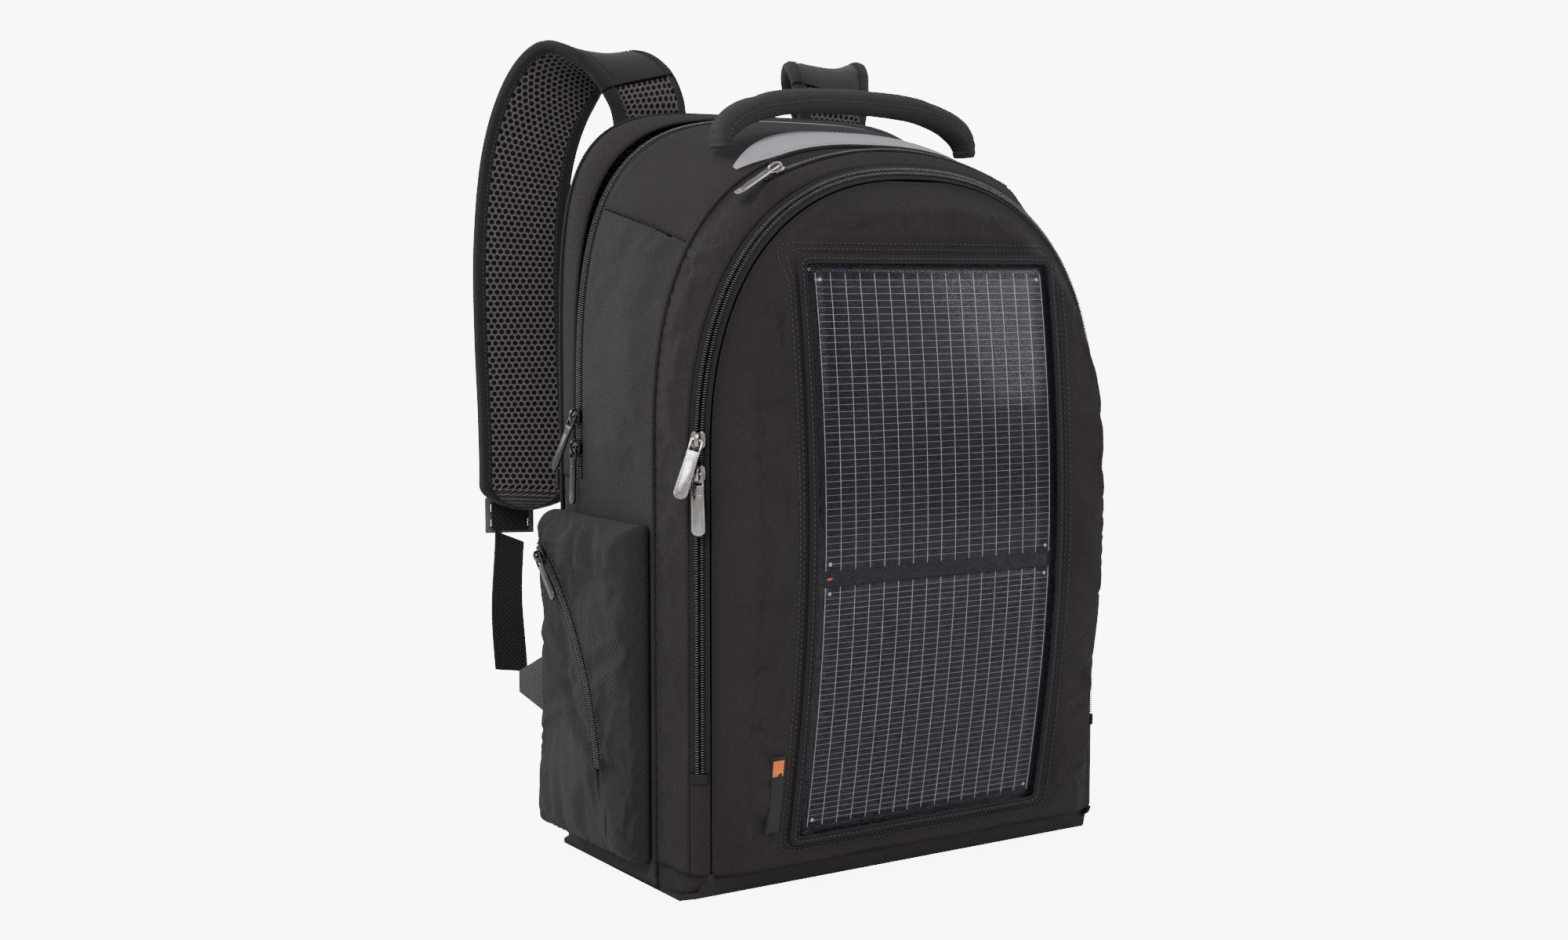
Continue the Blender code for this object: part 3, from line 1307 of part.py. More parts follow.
def main():
    clear_scene()
    base_panel()
    for word, side in SIDES:
        side_panel(f"side_panel_{word}", side)
        corner_dart(f"corner_dart_{word}", side)
        wing(f"wing_{word}", side)
        lower_webbing(f"webbing_{word}", side)
        pocket(word, side)
        shoulder_strap(f"strap_{word}", side)
        strap_tab(f"strap_tab_{word}", side)
        ladder_lock(f"ladder_lock_{word}", side)
    top_gusset()
    top_panel()
    divider_panel()
    front_gusset()
    lower_back_panel()
    laptop_sleeve()
    front_zip()
    main_zip()
    top_zip()
    cover_panel()
    window()
    label_tab()
    controller()
    back_panel()
    rear_gusset()
    strap_yoke()
    top_handle()
    sliders()


main()
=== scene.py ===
import json
import math

import bmesh
import bpy
import numpy as np
from mathutils import Matrix, Vector, noise


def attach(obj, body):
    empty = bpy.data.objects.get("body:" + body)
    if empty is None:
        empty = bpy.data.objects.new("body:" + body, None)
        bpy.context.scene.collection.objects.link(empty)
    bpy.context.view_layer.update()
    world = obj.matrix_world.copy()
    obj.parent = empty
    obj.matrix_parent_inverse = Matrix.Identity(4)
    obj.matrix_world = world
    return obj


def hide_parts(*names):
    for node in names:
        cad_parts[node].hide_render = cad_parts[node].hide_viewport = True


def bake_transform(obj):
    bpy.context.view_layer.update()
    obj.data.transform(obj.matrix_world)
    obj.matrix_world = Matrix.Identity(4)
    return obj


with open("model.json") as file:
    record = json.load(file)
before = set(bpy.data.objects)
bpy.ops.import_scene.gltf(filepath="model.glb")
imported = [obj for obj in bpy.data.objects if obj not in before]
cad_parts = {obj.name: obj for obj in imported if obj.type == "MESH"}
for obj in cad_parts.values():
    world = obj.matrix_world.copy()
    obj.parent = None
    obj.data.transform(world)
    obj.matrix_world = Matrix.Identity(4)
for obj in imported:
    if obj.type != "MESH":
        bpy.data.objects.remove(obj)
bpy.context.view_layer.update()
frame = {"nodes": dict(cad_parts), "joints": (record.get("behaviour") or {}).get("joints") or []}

bl_info = {
    "name": "Solar Backpack",
    "version": (1, 0, 0),
    "blender": (4, 5, 0),
    "location": "View3D > Sidebar > Solar Backpack",
    "description": "Builds the cloth, zips, solar window and fittings of a solar backpack",
    "category": "Object",
}

JOINTS = {joint["name"]: joint for joint in frame["joints"]}
SIDES = (("left", -1), ("right", 1))
FORWARD = Vector((0.0, -1.0, 0.0))
BACKWARD = Vector((0.0, 1.0, 0.0))
UPWARD = Vector((0.0, 0.0, 1.0))

GAP = 0.0003
FABRIC = 0.0022
SPRING_Z = 0.270
FRONT_ZIP_Y = -0.102
SEAM_Y = -0.060
MAIN_ZIP_Y = 0.038
BACK_Y = 0.066
PAD_REAR_Y = 0.080
SECTIONS = (
    (FRONT_ZIP_Y, 0.157, 0.447, 2.35),
    (SEAM_Y, 0.163, 0.463, 2.6),
    (MAIN_ZIP_Y, 0.163, 0.486, 3.5),
    (BACK_Y, 0.158, 0.490, 5.0),
)
WALL_FOOT_Z = 0.0043
BASE_FRONT_Y = -0.082
LIP_Z = 0.0162
CHAIN_WIDTH = 0.0068
CHAIN_HEIGHT = 0.0026
TAPE_WIDTH = 0.0062
TAPE_HEIGHT = 0.0010
FRONT_ZIP_END_Z = 0.083
MAIN_ZIP_END_Z = 0.2505
ROOT_HALF = math.sqrt(0.5)
GUSSET_FRONT_Y = FRONT_ZIP_Y + (TAPE_WIDTH + CHAIN_HEIGHT) * ROOT_HALF + GAP
GUSSET_SIDESTEP = (TAPE_WIDTH + GAP - CHAIN_HEIGHT + TAPE_HEIGHT) * ROOT_HALF
COVER_INSET = (TAPE_WIDTH + GAP + CHAIN_HEIGHT) * ROOT_HALF + GAP
COVER_RIM_Y = FRONT_ZIP_Y - (TAPE_WIDTH + GAP) * ROOT_HALF
COVER_FOOT_Z = 0.020
FACE_FOOT_Y = -0.1095
FACE_MIDDLE_Y = -0.134
FACE_HEAD_Y = -0.120
FACE_MIDDLE_Z = 0.225
FACE_HEAD_Z = 0.393
WINDOW_HALF = 0.099
WINDOW_FOOT_Z = 0.033
WINDOW_HEAD_Z = 0.393
WINDOW_BINDING = 0.0042
MODULE_HALF = 0.0885
MODULE_SPANS = (("lower", 0.0435, 0.194), ("upper", 0.204, 0.3825))
MODULE_ROWS = 43
MODULE_COLUMNS = 16
SHOULDER_SPLIT = 1.43
TOP_ZIP_Y = -0.0790
TOP_ZIP_RADIUS = 0.2231
TOP_ZIP_CENTRE_Z = 0.2364
TOP_ZIP_HALF_ANGLE = math.radians(25.0)
HANDLE_Y = -0.0320
HANDLE_HALF_SPAN = 0.0975
HANDLE_FOOT_Z = 0.46084
HANDLE_TOP_Z = 0.4935
HANDLE_POWER = 2.6
POCKET_FRONT_Y = -0.056
POCKET_REAR_Y = 0.0645
POCKET_FOOT_Z = 0.018
POCKET_HEAD_Z = 0.229
POCKET_DEPTH = 0.0235
POCKET_FABRIC = 0.0016
POCKET_RIM = 0.016
POCKET_CHAIN_X = 0.1884
STRAP_ROUTE = (
    (0.0760, 0.0915, 0.4760), (0.0770, 0.0960, 0.5000), (0.0830, 0.1080, 0.5200),
    (0.0930, 0.1270, 0.5305), (0.1060, 0.1490, 0.5265), (0.1180, 0.1670, 0.5020),
    (0.1280, 0.1760, 0.4600), (0.1340, 0.1770, 0.4000), (0.1360, 0.1730, 0.3400),
    (0.1385, 0.1640, 0.2900), (0.1430, 0.1530, 0.2480), (0.1475, 0.1450, 0.2200),
)
STRAP_WIDTH = 0.066
STRAP_THICKNESS = 0.0095
STRAP_TURN = math.radians(22.0)
WEB_WIDTH = 0.025
WEB_THICKNESS = 0.0016
LOCK_MIDDLE = Vector((0.1495, 0.1665, 0.2140))
WING_TIP = Vector((0.170, 0.114, 0.106))
# word, direction of travel, outward normal, tilt and lift of the pull in degrees, finish
SLIDERS = (
    ("front_upper", (0.02608, 0.0, 0.99966), (-0.70687, -0.70711, 0.01844), -13.0, 17.0, "nickel"),
    ("front_lower", (0.0, 0.0, 1.0), (-0.70711, -0.70711, 0.0), 2.0, 3.0, "nickel"),
    ("main_upper", (0.0, 0.0, 1.0), (-1.0, 0.0, 0.0), -10.0, 18.0, "gunmetal"),
    ("main_lower", (0.0, 0.0, 1.0), (-1.0, 0.0, 0.0), 4.0, 4.0, "gunmetal"),
    ("top", (0.92388, 0.0, 0.38268), (-0.38268, 0.0, 0.92388), 10.0, -6.0, "nickel"),
    ("pocket_left", (0.0, 0.7769, 0.62963), (-1.0, 0.0, 0.0), 0.0, 5.0, "gunmetal"),
    ("pocket_right", (0.0, 0.7769, 0.62963), (1.0, 0.0, 0.0), 0.0, 5.0, "gunmetal"),
)
PULL_AXIS_HEIGHT = 0.00315
DOT_INSET = 0.004
WINDOW_MARK_Z = 0.199
LABEL_MARK = (-0.115, 0.085)
FILM_DOT_PITCH = 0.0021
TOP_PANEL_HALF = 0.097
SEED = 7
WOBBLE = {"Min": 0.93, "Max": 1.05}
STUDIO_STRENGTH = 0.70
BACKDROP_STRENGTH = 9.0
FLOOR_STRENGTH = 8.0
FLOOR_HALF = 9.0
CAMERA_PLACE = (-0.7958, -1.153, 0.3765)
CAMERA_TURN = (math.radians(84.873), 0.0, math.radians(-33.656))
CAMERA_LENS = 47.8


# ---------------------------------------------------------------- settings
def colour_property(name, description, default):
    return bpy.props.FloatVectorProperty(
        name=name, description=description, default=default, subtype="COLOR", size=3, min=0.0, max=1.0
    )


def length_property(name, description, default, low, high):
    return bpy.props.FloatProperty(
        name=name, description=description, default=default, min=low, max=high,
        unit="LENGTH", subtype="DISTANCE", precision=5,
    )


class SolarPackColours(bpy.types.PropertyGroup):
    bag: colour_property("Bag cloth", "Colour of the black bag cloth", (0.0190, 0.0150, 0.0170))
    side: colour_property("Side cloth", "Colour of the side panels and pockets", (0.0240, 0.0212, 0.0225))
    top: colour_property("Top panel", "Colour of the pale panel under the handle", (0.330, 0.310, 0.345))
    handle: colour_property("Handle", "Colour of the brushed handle cloth", (0.0250, 0.0228, 0.0238))
    satin: colour_property("Strap satin", "Colour of the straps' outer cloth", (0.0130, 0.0128, 0.0135))
    mesh: colour_property("Spacer mesh", "Colour of the mesh on straps and back", (0.062, 0.054, 0.058))
    cell: colour_property("Solar cell", "Colour of the solar modules", (0.0022, 0.0026, 0.0060))
    accent: colour_property("Accent", "Colour of the small marks on window and label", (0.80, 0.16, 0.02))


class SolarPackSizes(bpy.types.PropertyGroup):
    thread: length_property("Thread", "Width of one thread of the bag cloth", 0.00080, 0.0001, 0.005)
    tooth_pitch: length_property("Tooth pitch", "Distance between two teeth of a coil", 0.0015, 0.001, 0.01)
    stitch_pitch: length_property("Stitch pitch", "Distance between two stitches", 0.0034, 0.001, 0.02)
    piping: length_property("Piping", "Radius of the piping along the body's seams", 0.0019, 0.0005, 0.005)
    mesh_cell: length_property("Mesh cell", "Distance between two holes of the mesh", 0.0046, 0.001, 0.02)


# ---------------------------------------------------------------- material nodes
class Graph:
    """Short names for making nodes in one tree."""

    def __init__(self, tree):
        self.tree = tree

    def node(self, kind, inputs=None, **settings):
        made = self.tree.nodes.new(kind)
        for key, value in settings.items():
            setattr(made, key, value)
        for key, value in (inputs or {}).items():
            if isinstance(value, bpy.types.NodeSocket):
                self.tree.links.new(value, made.inputs[key])
            else:
                made.inputs[key].default_value = value
        return made

    def calc(self, operation, first, second=0.0, third=None):
        values = {0: first, 1: second}
        if third is not None:
            values[2] = third
        return self.node("ShaderNodeMath", values, operation=operation).outputs[0]

    def ramp(self, value, low, high, start=0.0, end=1.0):
        inputs = {"Value": value, "From Min": low, "From Max": high, "To Min": start, "To Max": end}
        return self.node("ShaderNodeMapRange", inputs, interpolation_type="SMOOTHSTEP").outputs[0]

    def mix(self, share, first, second):
        made = self.node("ShaderNodeMix", data_type="RGBA")
        for index, value in ((0, share), (6, first), (7, second)):
            if isinstance(value, bpy.types.NodeSocket):
                self.tree.links.new(value, made.inputs[index])
            else:
                made.inputs[index].default_value = value
        return made.outputs[2]

    def link(self, source, target):
        self.tree.links.new(source, target)

    def use(self, name, inputs):
        """One of the shared groups, placed with its own values."""
        return self.node("ShaderNodeGroup", inputs, node_tree=group(name))

    def noise(self, vector, scale, detail):
        inputs = {"Vector": vector, "Scale": scale, "Detail": detail}
        return self.node("ShaderNodeTexNoise", inputs).outputs["Fac"]

    def relief(self, shader, strength, distance, height):
        inputs = {"Strength": strength, "Distance": distance, "Height": height}
        self.link(self.node("ShaderNodeBump", inputs).outputs[0], shader.inputs["Normal"])

    def scaled(self, vector, size):
        """The vector divided by a length."""
        scale = self.calc("DIVIDE", 1.0, size)
        made = self.node("ShaderNodeVectorMath", {0: vector, "Scale": scale}, operation="SCALE")
        return made.outputs[0]


def start_group(name, inputs, outputs):
    """An empty shader group: inputs are (name, kind, default), outputs (name, kind)."""
    tree = bpy.data.node_groups.new(name, "ShaderNodeTree")
    for label, kind, default in inputs:
        socket = tree.interface.new_socket(label, in_out="INPUT", socket_type=kind)
        if default is not None:
            socket.default_value = default
    for label, kind in outputs:
        tree.interface.new_socket(label, in_out="OUTPUT", socket_type=kind)
    graph = Graph(tree)
    return graph, graph.node("NodeGroupInput"), graph.node("NodeGroupOutput")


def weave_group():
    """Twill threads that cross over and under, from a position in metres."""
    graph, entry, leave = start_group(
        "Twill weave",
        (("Vector", "NodeSocketVector", None), ("Thread", "NodeSocketFloat", 0.0006),
         ("Float", "NodeSocketFloat", 4.0)),
        (("Height", "NodeSocketFloat"), ("Shade", "NodeSocketFloat")),
    )
    threads = graph.scaled(entry.outputs["Vector"], entry.outputs["Thread"])
    axes = graph.node("ShaderNodeSeparateXYZ", {0: threads})
    warp = graph.calc("ABSOLUTE", graph.calc("SINE", graph.calc("MULTIPLY", axes.outputs[0], math.pi)))
    weft = graph.calc("ABSOLUTE", graph.calc("SINE", graph.calc("MULTIPLY", axes.outputs[1], math.pi)))
    cells = [graph.calc("FLOOR", axes.outputs[k]) for k in (0, 1)]
    diagonal = graph.calc("ADD", cells[0], cells[1])
    phase = graph.calc("FRACT", graph.calc("DIVIDE", diagonal, entry.outputs["Float"]))
    over = graph.calc("GREATER_THAN", phase, 0.49)
    under = graph.calc("SUBTRACT", 1.0, over)
    height = graph.calc("ADD", graph.calc("MULTIPLY", warp, over), graph.calc("MULTIPLY", weft, under))
    grain = graph.noise(threads, 0.7, 1.0)
    # Painted shade and highlight: the colour follows the threads' height, darker in the hollows, times
    # random grain.
    painted_thread_shade = graph.calc("MULTIPLY", height, graph.calc("ADD", 0.55, grain))
    graph.link(height, leave.inputs["Height"])
    graph.link(painted_thread_shade, leave.inputs["Shade"])
    return graph.tree


def honeycomb_group():
    """Staggered round holes, as in spacer mesh, from a position in metres."""
    graph, entry, leave = start_group(
        "Spacer mesh",
        (("Vector", "NodeSocketVector", None), ("Cell", "NodeSocketFloat", 0.004)),
        (("Hole", "NodeSocketFloat"), ("Height", "NodeSocketFloat")),
    )
    cells = graph.scaled(entry.outputs["Vector"], entry.outputs["Cell"])
    axes = graph.node("ShaderNodeSeparateXYZ", {0: cells})
    distances = []
    for shift in (0.0, 0.5):
        x = graph.calc("SUBTRACT", graph.calc("FRACT", graph.calc("ADD", axes.outputs[0], shift)), 0.5)
        y = graph.calc("DIVIDE", axes.outputs[1], math.sqrt(3.0))
        y = graph.calc("SUBTRACT", graph.calc("FRACT", graph.calc("ADD", y, shift)), 0.5)
        y = graph.calc("MULTIPLY", y, math.sqrt(3.0))
        square = graph.calc("ADD", graph.calc("MULTIPLY", x, x), graph.calc("MULTIPLY", y, y))
        distances.append(graph.calc("SQRT", square))
    nearest = graph.calc("MINIMUM", distances[0], distances[1])
    hole = graph.ramp(nearest, 0.40, 0.29)
    graph.link(hole, leave.inputs["Hole"])
    graph.link(graph.calc("SUBTRACT", 1.0, hole), leave.inputs["Height"])
    return graph.tree


def wear_group():
    """Slow fading, fine fluff and rubbed patches, from Object coordinates."""
    graph, entry, leave = start_group(
        "Use and dust",
        (("Vector", "NodeSocketVector", None), ("Amount", "NodeSocketFloat", 0.5)),
        (("Fade", "NodeSocketFloat"), ("Fluff", "NodeSocketFloat")),
    )
    slow = graph.noise(entry.outputs["Vector"], 14.0, 4.0)
    fade = graph.ramp(slow, 0.30, 0.75)
    fade = graph.calc("MULTIPLY", fade, entry.outputs["Amount"])
    fine = graph.noise(entry.outputs["Vector"], 900.0, 2.0)
    fluff = graph.ramp(fine, 0.52, 0.75)
    graph.link(fade, leave.inputs["Fade"])
    graph.link(fluff, leave.inputs["Fluff"])
    return graph.tree


def scratch_group():
    """Fine directional scratches and handling marks for metal and plastic."""
    graph, entry, leave = start_group(
        "Handling marks",
        (("Vector", "NodeSocketVector", None), ("Grain", "NodeSocketFloat", 1500.0)),
        (("Marks", "NodeSocketFloat"), ("Smudge", "NodeSocketFloat")),
    )
    stretched = graph.node(
        "ShaderNodeVectorMath", {0: entry.outputs["Vector"], 1: (1.0, 1.0, 0.12)}, operation="MULTIPLY"
    )
    lines = graph.noise(stretched.outputs[0], entry.outputs["Grain"], 3.0)
    smudge = graph.noise(entry.outputs["Vector"], 130.0, 3.0)
    graph.link(graph.ramp(lines, 0.35, 0.70), leave.inputs["Marks"])
    graph.link(graph.ramp(smudge, 0.35, 0.70), leave.inputs["Smudge"])
    return graph.tree


GROUP_MAKERS = {
    "Twill weave": weave_group,
    "Spacer mesh": honeycomb_group,
    "Use and dust": wear_group,
    "Handling marks": scratch_group,
}


def group(name):
    return bpy.data.node_groups.get(name) or GROUP_MAKERS[name]()


def start_material(name, **sockets):
    """A material with its uniform values set on the shader's own sockets."""
    made = bpy.data.materials.new(f"look_{name}")
    made.use_nodes = True
    graph = Graph(made.node_tree)
    shader = made.node_tree.nodes["Principled BSDF"]
    for key, value in sockets.items():
        shader.inputs[key.replace("_", " ")].default_value = value
    return made, graph, shader


def rgba(colour, factor=1.0):
    return (*[min(channel * factor, 1.0) for channel in colour], 1.0)


def cloth_material(name, colour, thread, roughness=0.85, sheen=0.25, painted_weave_shade=0.5, slant=4.0, bump=0.75,
                   fade=0.6):
    """Woven cloth: threads from the piece's own UV map, fading from Object coordinates."""
    made, graph, shader = start_material(
        name, Sheen_Weight=sheen, Sheen_Roughness=0.45, Specular_IOR_Level=0.20
    )
    shader.inputs["Sheen Tint"].default_value = rgba([0.5 + channel for channel in colour])
    place = graph.node("ShaderNodeTexCoord")
    weave = graph.use("Twill weave", {"Vector": place.outputs["UV"], "Thread": thread, "Float": slant})
    wear = graph.use("Use and dust", {"Vector": place.outputs["Object"], "Amount": fade})
    # Painted shade in the weave's hollows and painted highlight on the raised threads.
    low = rgba(colour, 1.0 - painted_weave_shade * 0.7)
    high = rgba(colour, 1.0 + painted_weave_shade)
    threads = graph.mix(weave.outputs["Shade"], low, high)
    faded = graph.mix(wear.outputs["Fade"], threads, rgba([c * 1.25 + 0.004 for c in colour]))
    share = graph.calc("MULTIPLY", wear.outputs["Fluff"], 0.22)
    graph.link(graph.mix(share, faded, rgba(colour, 2.2)), shader.inputs["Base Color"])
    rough = graph.ramp(wear.outputs["Fade"], 0.0, 1.0, roughness, roughness - 0.10)
    graph.link(rough, shader.inputs["Roughness"])
    height = graph.calc("ADD", weave.outputs["Height"], graph.calc("MULTIPLY", wear.outputs["Fluff"], 0.35))
    graph.relief(shader, bump, thread * 0.9, height)
    return made


def mesh_material(name, colour, cell):
    """Spacer mesh: dark holes between raised threads."""
    made, graph, shader = start_material(name, Sheen_Weight=0.04, Specular_IOR_Level=0.15)
    place = graph.node("ShaderNodeTexCoord")
    holes = graph.use("Spacer mesh", {"Vector": place.outputs["UV"], "Cell": cell})
    wear = graph.use("Use and dust", {"Vector": place.outputs["Object"]})
    top = graph.mix(wear.outputs["Fluff"], rgba(colour, 1.2), rgba(colour, 2.2))
    hole = holes.outputs["Hole"]
    # Painted shade: the holes are darkened to a small fraction of the thread colour.
    graph.link(graph.mix(hole, top, rgba(colour, 0.07)), shader.inputs["Base Color"])
    graph.link(graph.ramp(hole, 0.0, 1.0, 0.72, 0.95), shader.inputs["Roughness"])
    graph.relief(shader, 0.9, cell * 0.25, holes.outputs["Height"])
    return made


def hard_material(name, colour, roughness, metallic, grain=1500.0, coat=0.0, bump=0.12):
    """Metal or moulded plastic with handling marks."""
    made, graph, shader = start_material(name, Coat_Weight=coat, Coat_Roughness=0.12)
    shader.inputs["Metallic"].default_value = metallic
    place = graph.node("ShaderNodeTexCoord")
    marks = graph.use("Handling marks", {"Vector": place.outputs["Object"], "Grain": grain})
    tone = graph.mix(marks.outputs["Smudge"], rgba(colour, 0.86), rgba(colour, 1.10))
    graph.link(tone, shader.inputs["Base Color"])
    rough = graph.ramp(marks.outputs["Marks"], 0.0, 1.0, roughness * 0.75, roughness * 1.35)
    graph.link(rough, shader.inputs["Roughness"])
    graph.relief(shader, bump, 0.00012, marks.outputs["Marks"])
    return made


def cell_material(colour):
    """Amorphous solar film: near black with a slow violet and blue drift."""
    made, graph, shader = start_material(
        "solar_cell", Coat_Weight=0.1, Coat_Roughness=0.08, Specular_IOR_Level=0.2
    )
    place = graph.node("ShaderNodeTexCoord")
    drift = graph.noise(place.outputs["Object"], 9.0, 2.0)
    share = graph.ramp(drift, 0.35, 0.65)
    tone = graph.mix(share, rgba(colour), rgba((colour[0] * 1.7, colour[1] * 1.2, colour[2] * 1.5)))
    graph.link(tone, shader.inputs["Base Color"])
    graph.link(graph.ramp(drift, 0.2, 0.8, 0.22, 0.34), shader.inputs["Roughness"])
    return made


def film_material():
    """Clear window film: a thin dark gloss with a fine raised dot texture."""
    made, graph, shader = start_material(
        "clear_film", Metallic=0.0, Specular_IOR_Level=0.5, Coat_Weight=0.5, Coat_Roughness=0.06
    )
    place = graph.node("ShaderNodeTexCoord")
    dots = graph.use("Spacer mesh", {"Vector": place.outputs["UV"], "Cell": FILM_DOT_PITCH}).outputs["Hole"]
    tone = graph.mix(dots, (0.0016, 0.0022, 0.0060, 1.0), (0.012, 0.016, 0.034, 1.0))
    graph.link(tone, shader.inputs["Base Color"])
    graph.link(graph.ramp(dots, 0.0, 1.0, 0.12, 0.22), shader.inputs["Alpha"])
    smudge = graph.noise(place.outputs["Object"], 22.0, 3.0)
    graph.link(graph.ramp(smudge, 0.3, 0.7, 0.10, 0.20), shader.inputs["Roughness"])
    graph.relief(shader, 0.4, 0.00010, dots)
    return made


def board_material():
    """Green circuit board with copper traces."""
    made, graph, shader = start_material("circuit_board", Coat_Weight=0.4, Coat_Roughness=0.2)
    place = graph.node("ShaderNodeTexCoord")
    bricks = graph.node(
        "ShaderNodeTexBrick",
        {"Vector": place.outputs["Object"], "Scale": 160.0, "Mortar Size": 0.06,
         "Color1": (0.010, 0.075, 0.028, 1.0), "Color2": (0.012, 0.090, 0.034, 1.0),
         "Mortar": (0.09, 0.16, 0.05, 1.0)},
    )
    graph.link(bricks.outputs["Color"], shader.inputs["Base Color"])
    graph.link(graph.ramp(bricks.outputs["Fac"], 0.0, 1.0, 0.35, 0.5), shader.inputs["Roughness"])
    graph.relief(shader, 0.3, 0.0001, bricks.outputs["Fac"])
    return made


def floor_material():
    made, graph, shader = start_material("floor", Specular_IOR_Level=0.25)
    place = graph.node("ShaderNodeTexCoord")
    tone = graph.noise(place.outputs["Object"], 2.0, 2.0)
    graph.link(
        graph.mix(tone, (0.86, 0.86, 0.865, 1.0), (0.90, 0.90, 0.905, 1.0)),
        shader.inputs["Base Color"],
    )
    shader.inputs["Roughness"].default_value = 0.65
    shader.inputs["Emission Color"].default_value = (1.0, 1.0, 1.0, 1.0)
    seen = graph.node("ShaderNodeLightPath").outputs["Is Camera Ray"]
    graph.link(graph.calc("MULTIPLY", seen, FLOOR_STRENGTH), shader.inputs["Emission Strength"])
    return made


def finish_of(name):
    """The material of that name, made when it is first asked for."""
    found = bpy.data.materials.get(f"look_{name}")
    if found:
        return found
    colours = bpy.context.scene.solar_pack_colours
    sizes = bpy.context.scene.solar_pack_sizes
    thread = sizes.thread
    # colour, thread, then roughness, sheen, painted weave shade, slant, bump and fade as far as they differ
    cloths = {
        "bag_fabric": (colours.bag, thread, 0.80, 0.06),
        "side_fabric": (colours.side, thread, 0.84, 0.08),
        "grey_fabric": (colours.top, thread * 1.3, 0.86, 0.12, 0.28, 5.0, 0.5, 0.35),
        "handle_fabric": (colours.handle, thread * 0.8, 0.94, 0.14, 0.6),
        "satin": (colours.satin, thread * 0.5, 0.42, 0.03, 0.35, 5.0, 0.2, 0.4),
        "webbing": (colours.satin, thread * 2.2, 0.62, 0.04, 0.7, 2.0, 0.8),
        "wing_webbing": ((0.060, 0.060, 0.064), thread * 1.8, 0.8, 0.06, 0.5, 2.0, 0.6),
        "binding": ((0.0105, 0.0100, 0.0108), thread * 1.2, 0.60, 0.04, 0.6, 2.0, 0.6),
        "zip_tape": ((0.0140, 0.0130, 0.0138), thread * 1.1, 0.75, 0.05, 0.6, 2.0, 0.7),
        "thread": ((0.060, 0.054, 0.058), 0.0003, 0.6, 0.05, 0.5),
        "grey_thread": ((0.36, 0.35, 0.38), 0.0003, 0.7, 0.1, 0.3),
        "label_fabric": ((0.012, 0.012, 0.013), 0.0004, 0.7, 0.2, 0.5, 2.0),
    }
    # colour, roughness and metallic, then grain and coat as far as they differ
    hard = {
        "zip_coil": ((0.0420, 0.0400, 0.0410), 0.26, 0.0, 1500.0, 0.6),
        "nickel": ((0.34, 0.325, 0.31), 0.24, 1.0, 1900.0),
        "gunmetal": ((0.105, 0.100, 0.097), 0.28, 1.0, 1900.0),
        "black_plastic": ((0.016, 0.016, 0.018), 0.38, 0.0, 900.0),
        "lock_plastic": ((0.055, 0.057, 0.063), 0.33, 0.0, 900.0),
        "socket_steel": ((0.62, 0.61, 0.60), 0.25, 1.0),
        "silver_line": ((0.52, 0.54, 0.56), 0.45, 0.25),
        "white_mark": ((0.72, 0.73, 0.75), 0.5, 0.0),
        "accent_mark": (colours.accent, 0.5, 0.0),
    }
    if name in cloths:
        return cloth_material(name, *cloths[name])
    if name in hard:
        return hard_material(name, *hard[name])
    others = {
        "padded_mesh": lambda: mesh_material(name, colours.mesh, sizes.mesh_cell),
        "solar_cell": lambda: cell_material(colours.cell),
        "clear_film": film_material,
        "circuit_board": board_material,
        "floor": floor_material,
    }
    return others[name]()


# ---------------------------------------------------------------- mesh helpers
def link_mesh(name, mesh):
    made = bpy.data.objects.new(name, mesh)
    bpy.context.scene.collection.objects.link(made)
    return made


def apply_modifiers(piece):
    """The evaluated shape becomes the piece's own plain mesh."""
    depsgraph = bpy.context.evaluated_depsgraph_get()
    mesh = bpy.data.meshes.new_from_object(piece.evaluated_get(depsgraph))
    piece.modifiers.clear()
    old = piece.data
    piece.data = mesh
    bpy.data.meshes.remove(old)
    return piece


def turn_outward(mesh, hint):
    """Flip the whole surface if its faces look against the hint."""
    total = 0.0
    for face in mesh.polygons:
        away = hint(face.center) if callable(hint) else hint
        total += face.normal.dot(away) * face.area
    if total < 0.0:
        mesh.flip_normals()


def from_middle(centre):
    """Away from the pack's middle line."""
    return Vector((centre.x, 0.0, centre.z - 0.20))


def cumulative(grid, axis):
    steps = np.linalg.norm(np.diff(grid, axis=axis), axis=2)
    shape = list(steps.shape)
    shape[axis] = 1
    return np.concatenate([np.zeros(shape), np.cumsum(steps, axis=axis)], axis=axis)


def loft(name, grid, hint, keep=None):
    """A smooth sheet through a grid of points, with a UV map in metres."""
    grid = np.array([[tuple(point) for point in row] for row in grid], float)
    rows, columns = grid.shape[:2]
    u = cumulative(grid, 1)
    v = cumulative(grid, 0)
    u = u - u[:, columns // 2:columns // 2 + 1]
    faces = []
    for i in range(rows - 1):
        for j in range(columns - 1):
            if keep is None or keep(i, j):
                a = i * columns + j
                faces.append((a, a + 1, a + columns + 1, a + columns))
    mesh = bpy.data.meshes.new(name)
    mesh.from_pydata(grid.reshape(-1, 3).tolist(), [], faces)
    layer = mesh.uv_layers.new(name="UVMap")
    flat = np.stack([u, v], axis=2).reshape(-1, 2)
    corners = np.array([loop.vertex_index for loop in mesh.loops])
    layer.data.foreach_set("uv", flat[corners].reshape(-1))
    if keep is not None:
        bm = bmesh.new()
        bm.from_mesh(mesh)
        loose = [vert for vert in bm.verts if not vert.link_faces]
        bmesh.ops.delete(bm, geom=loose, context="VERTS")
        bm.to_mesh(mesh)
        bm.free()
    turn_outward(mesh, hint)
    mesh.shade_smooth()
    return link_mesh(name, mesh)


def thicken(piece, thickness, offset=-1.0):
    solid = piece.modifiers.new("thickness", "SOLIDIFY")
    solid.thickness = thickness
    solid.offset = offset
    solid.use_even_offset = False
    return apply_modifiers(piece)


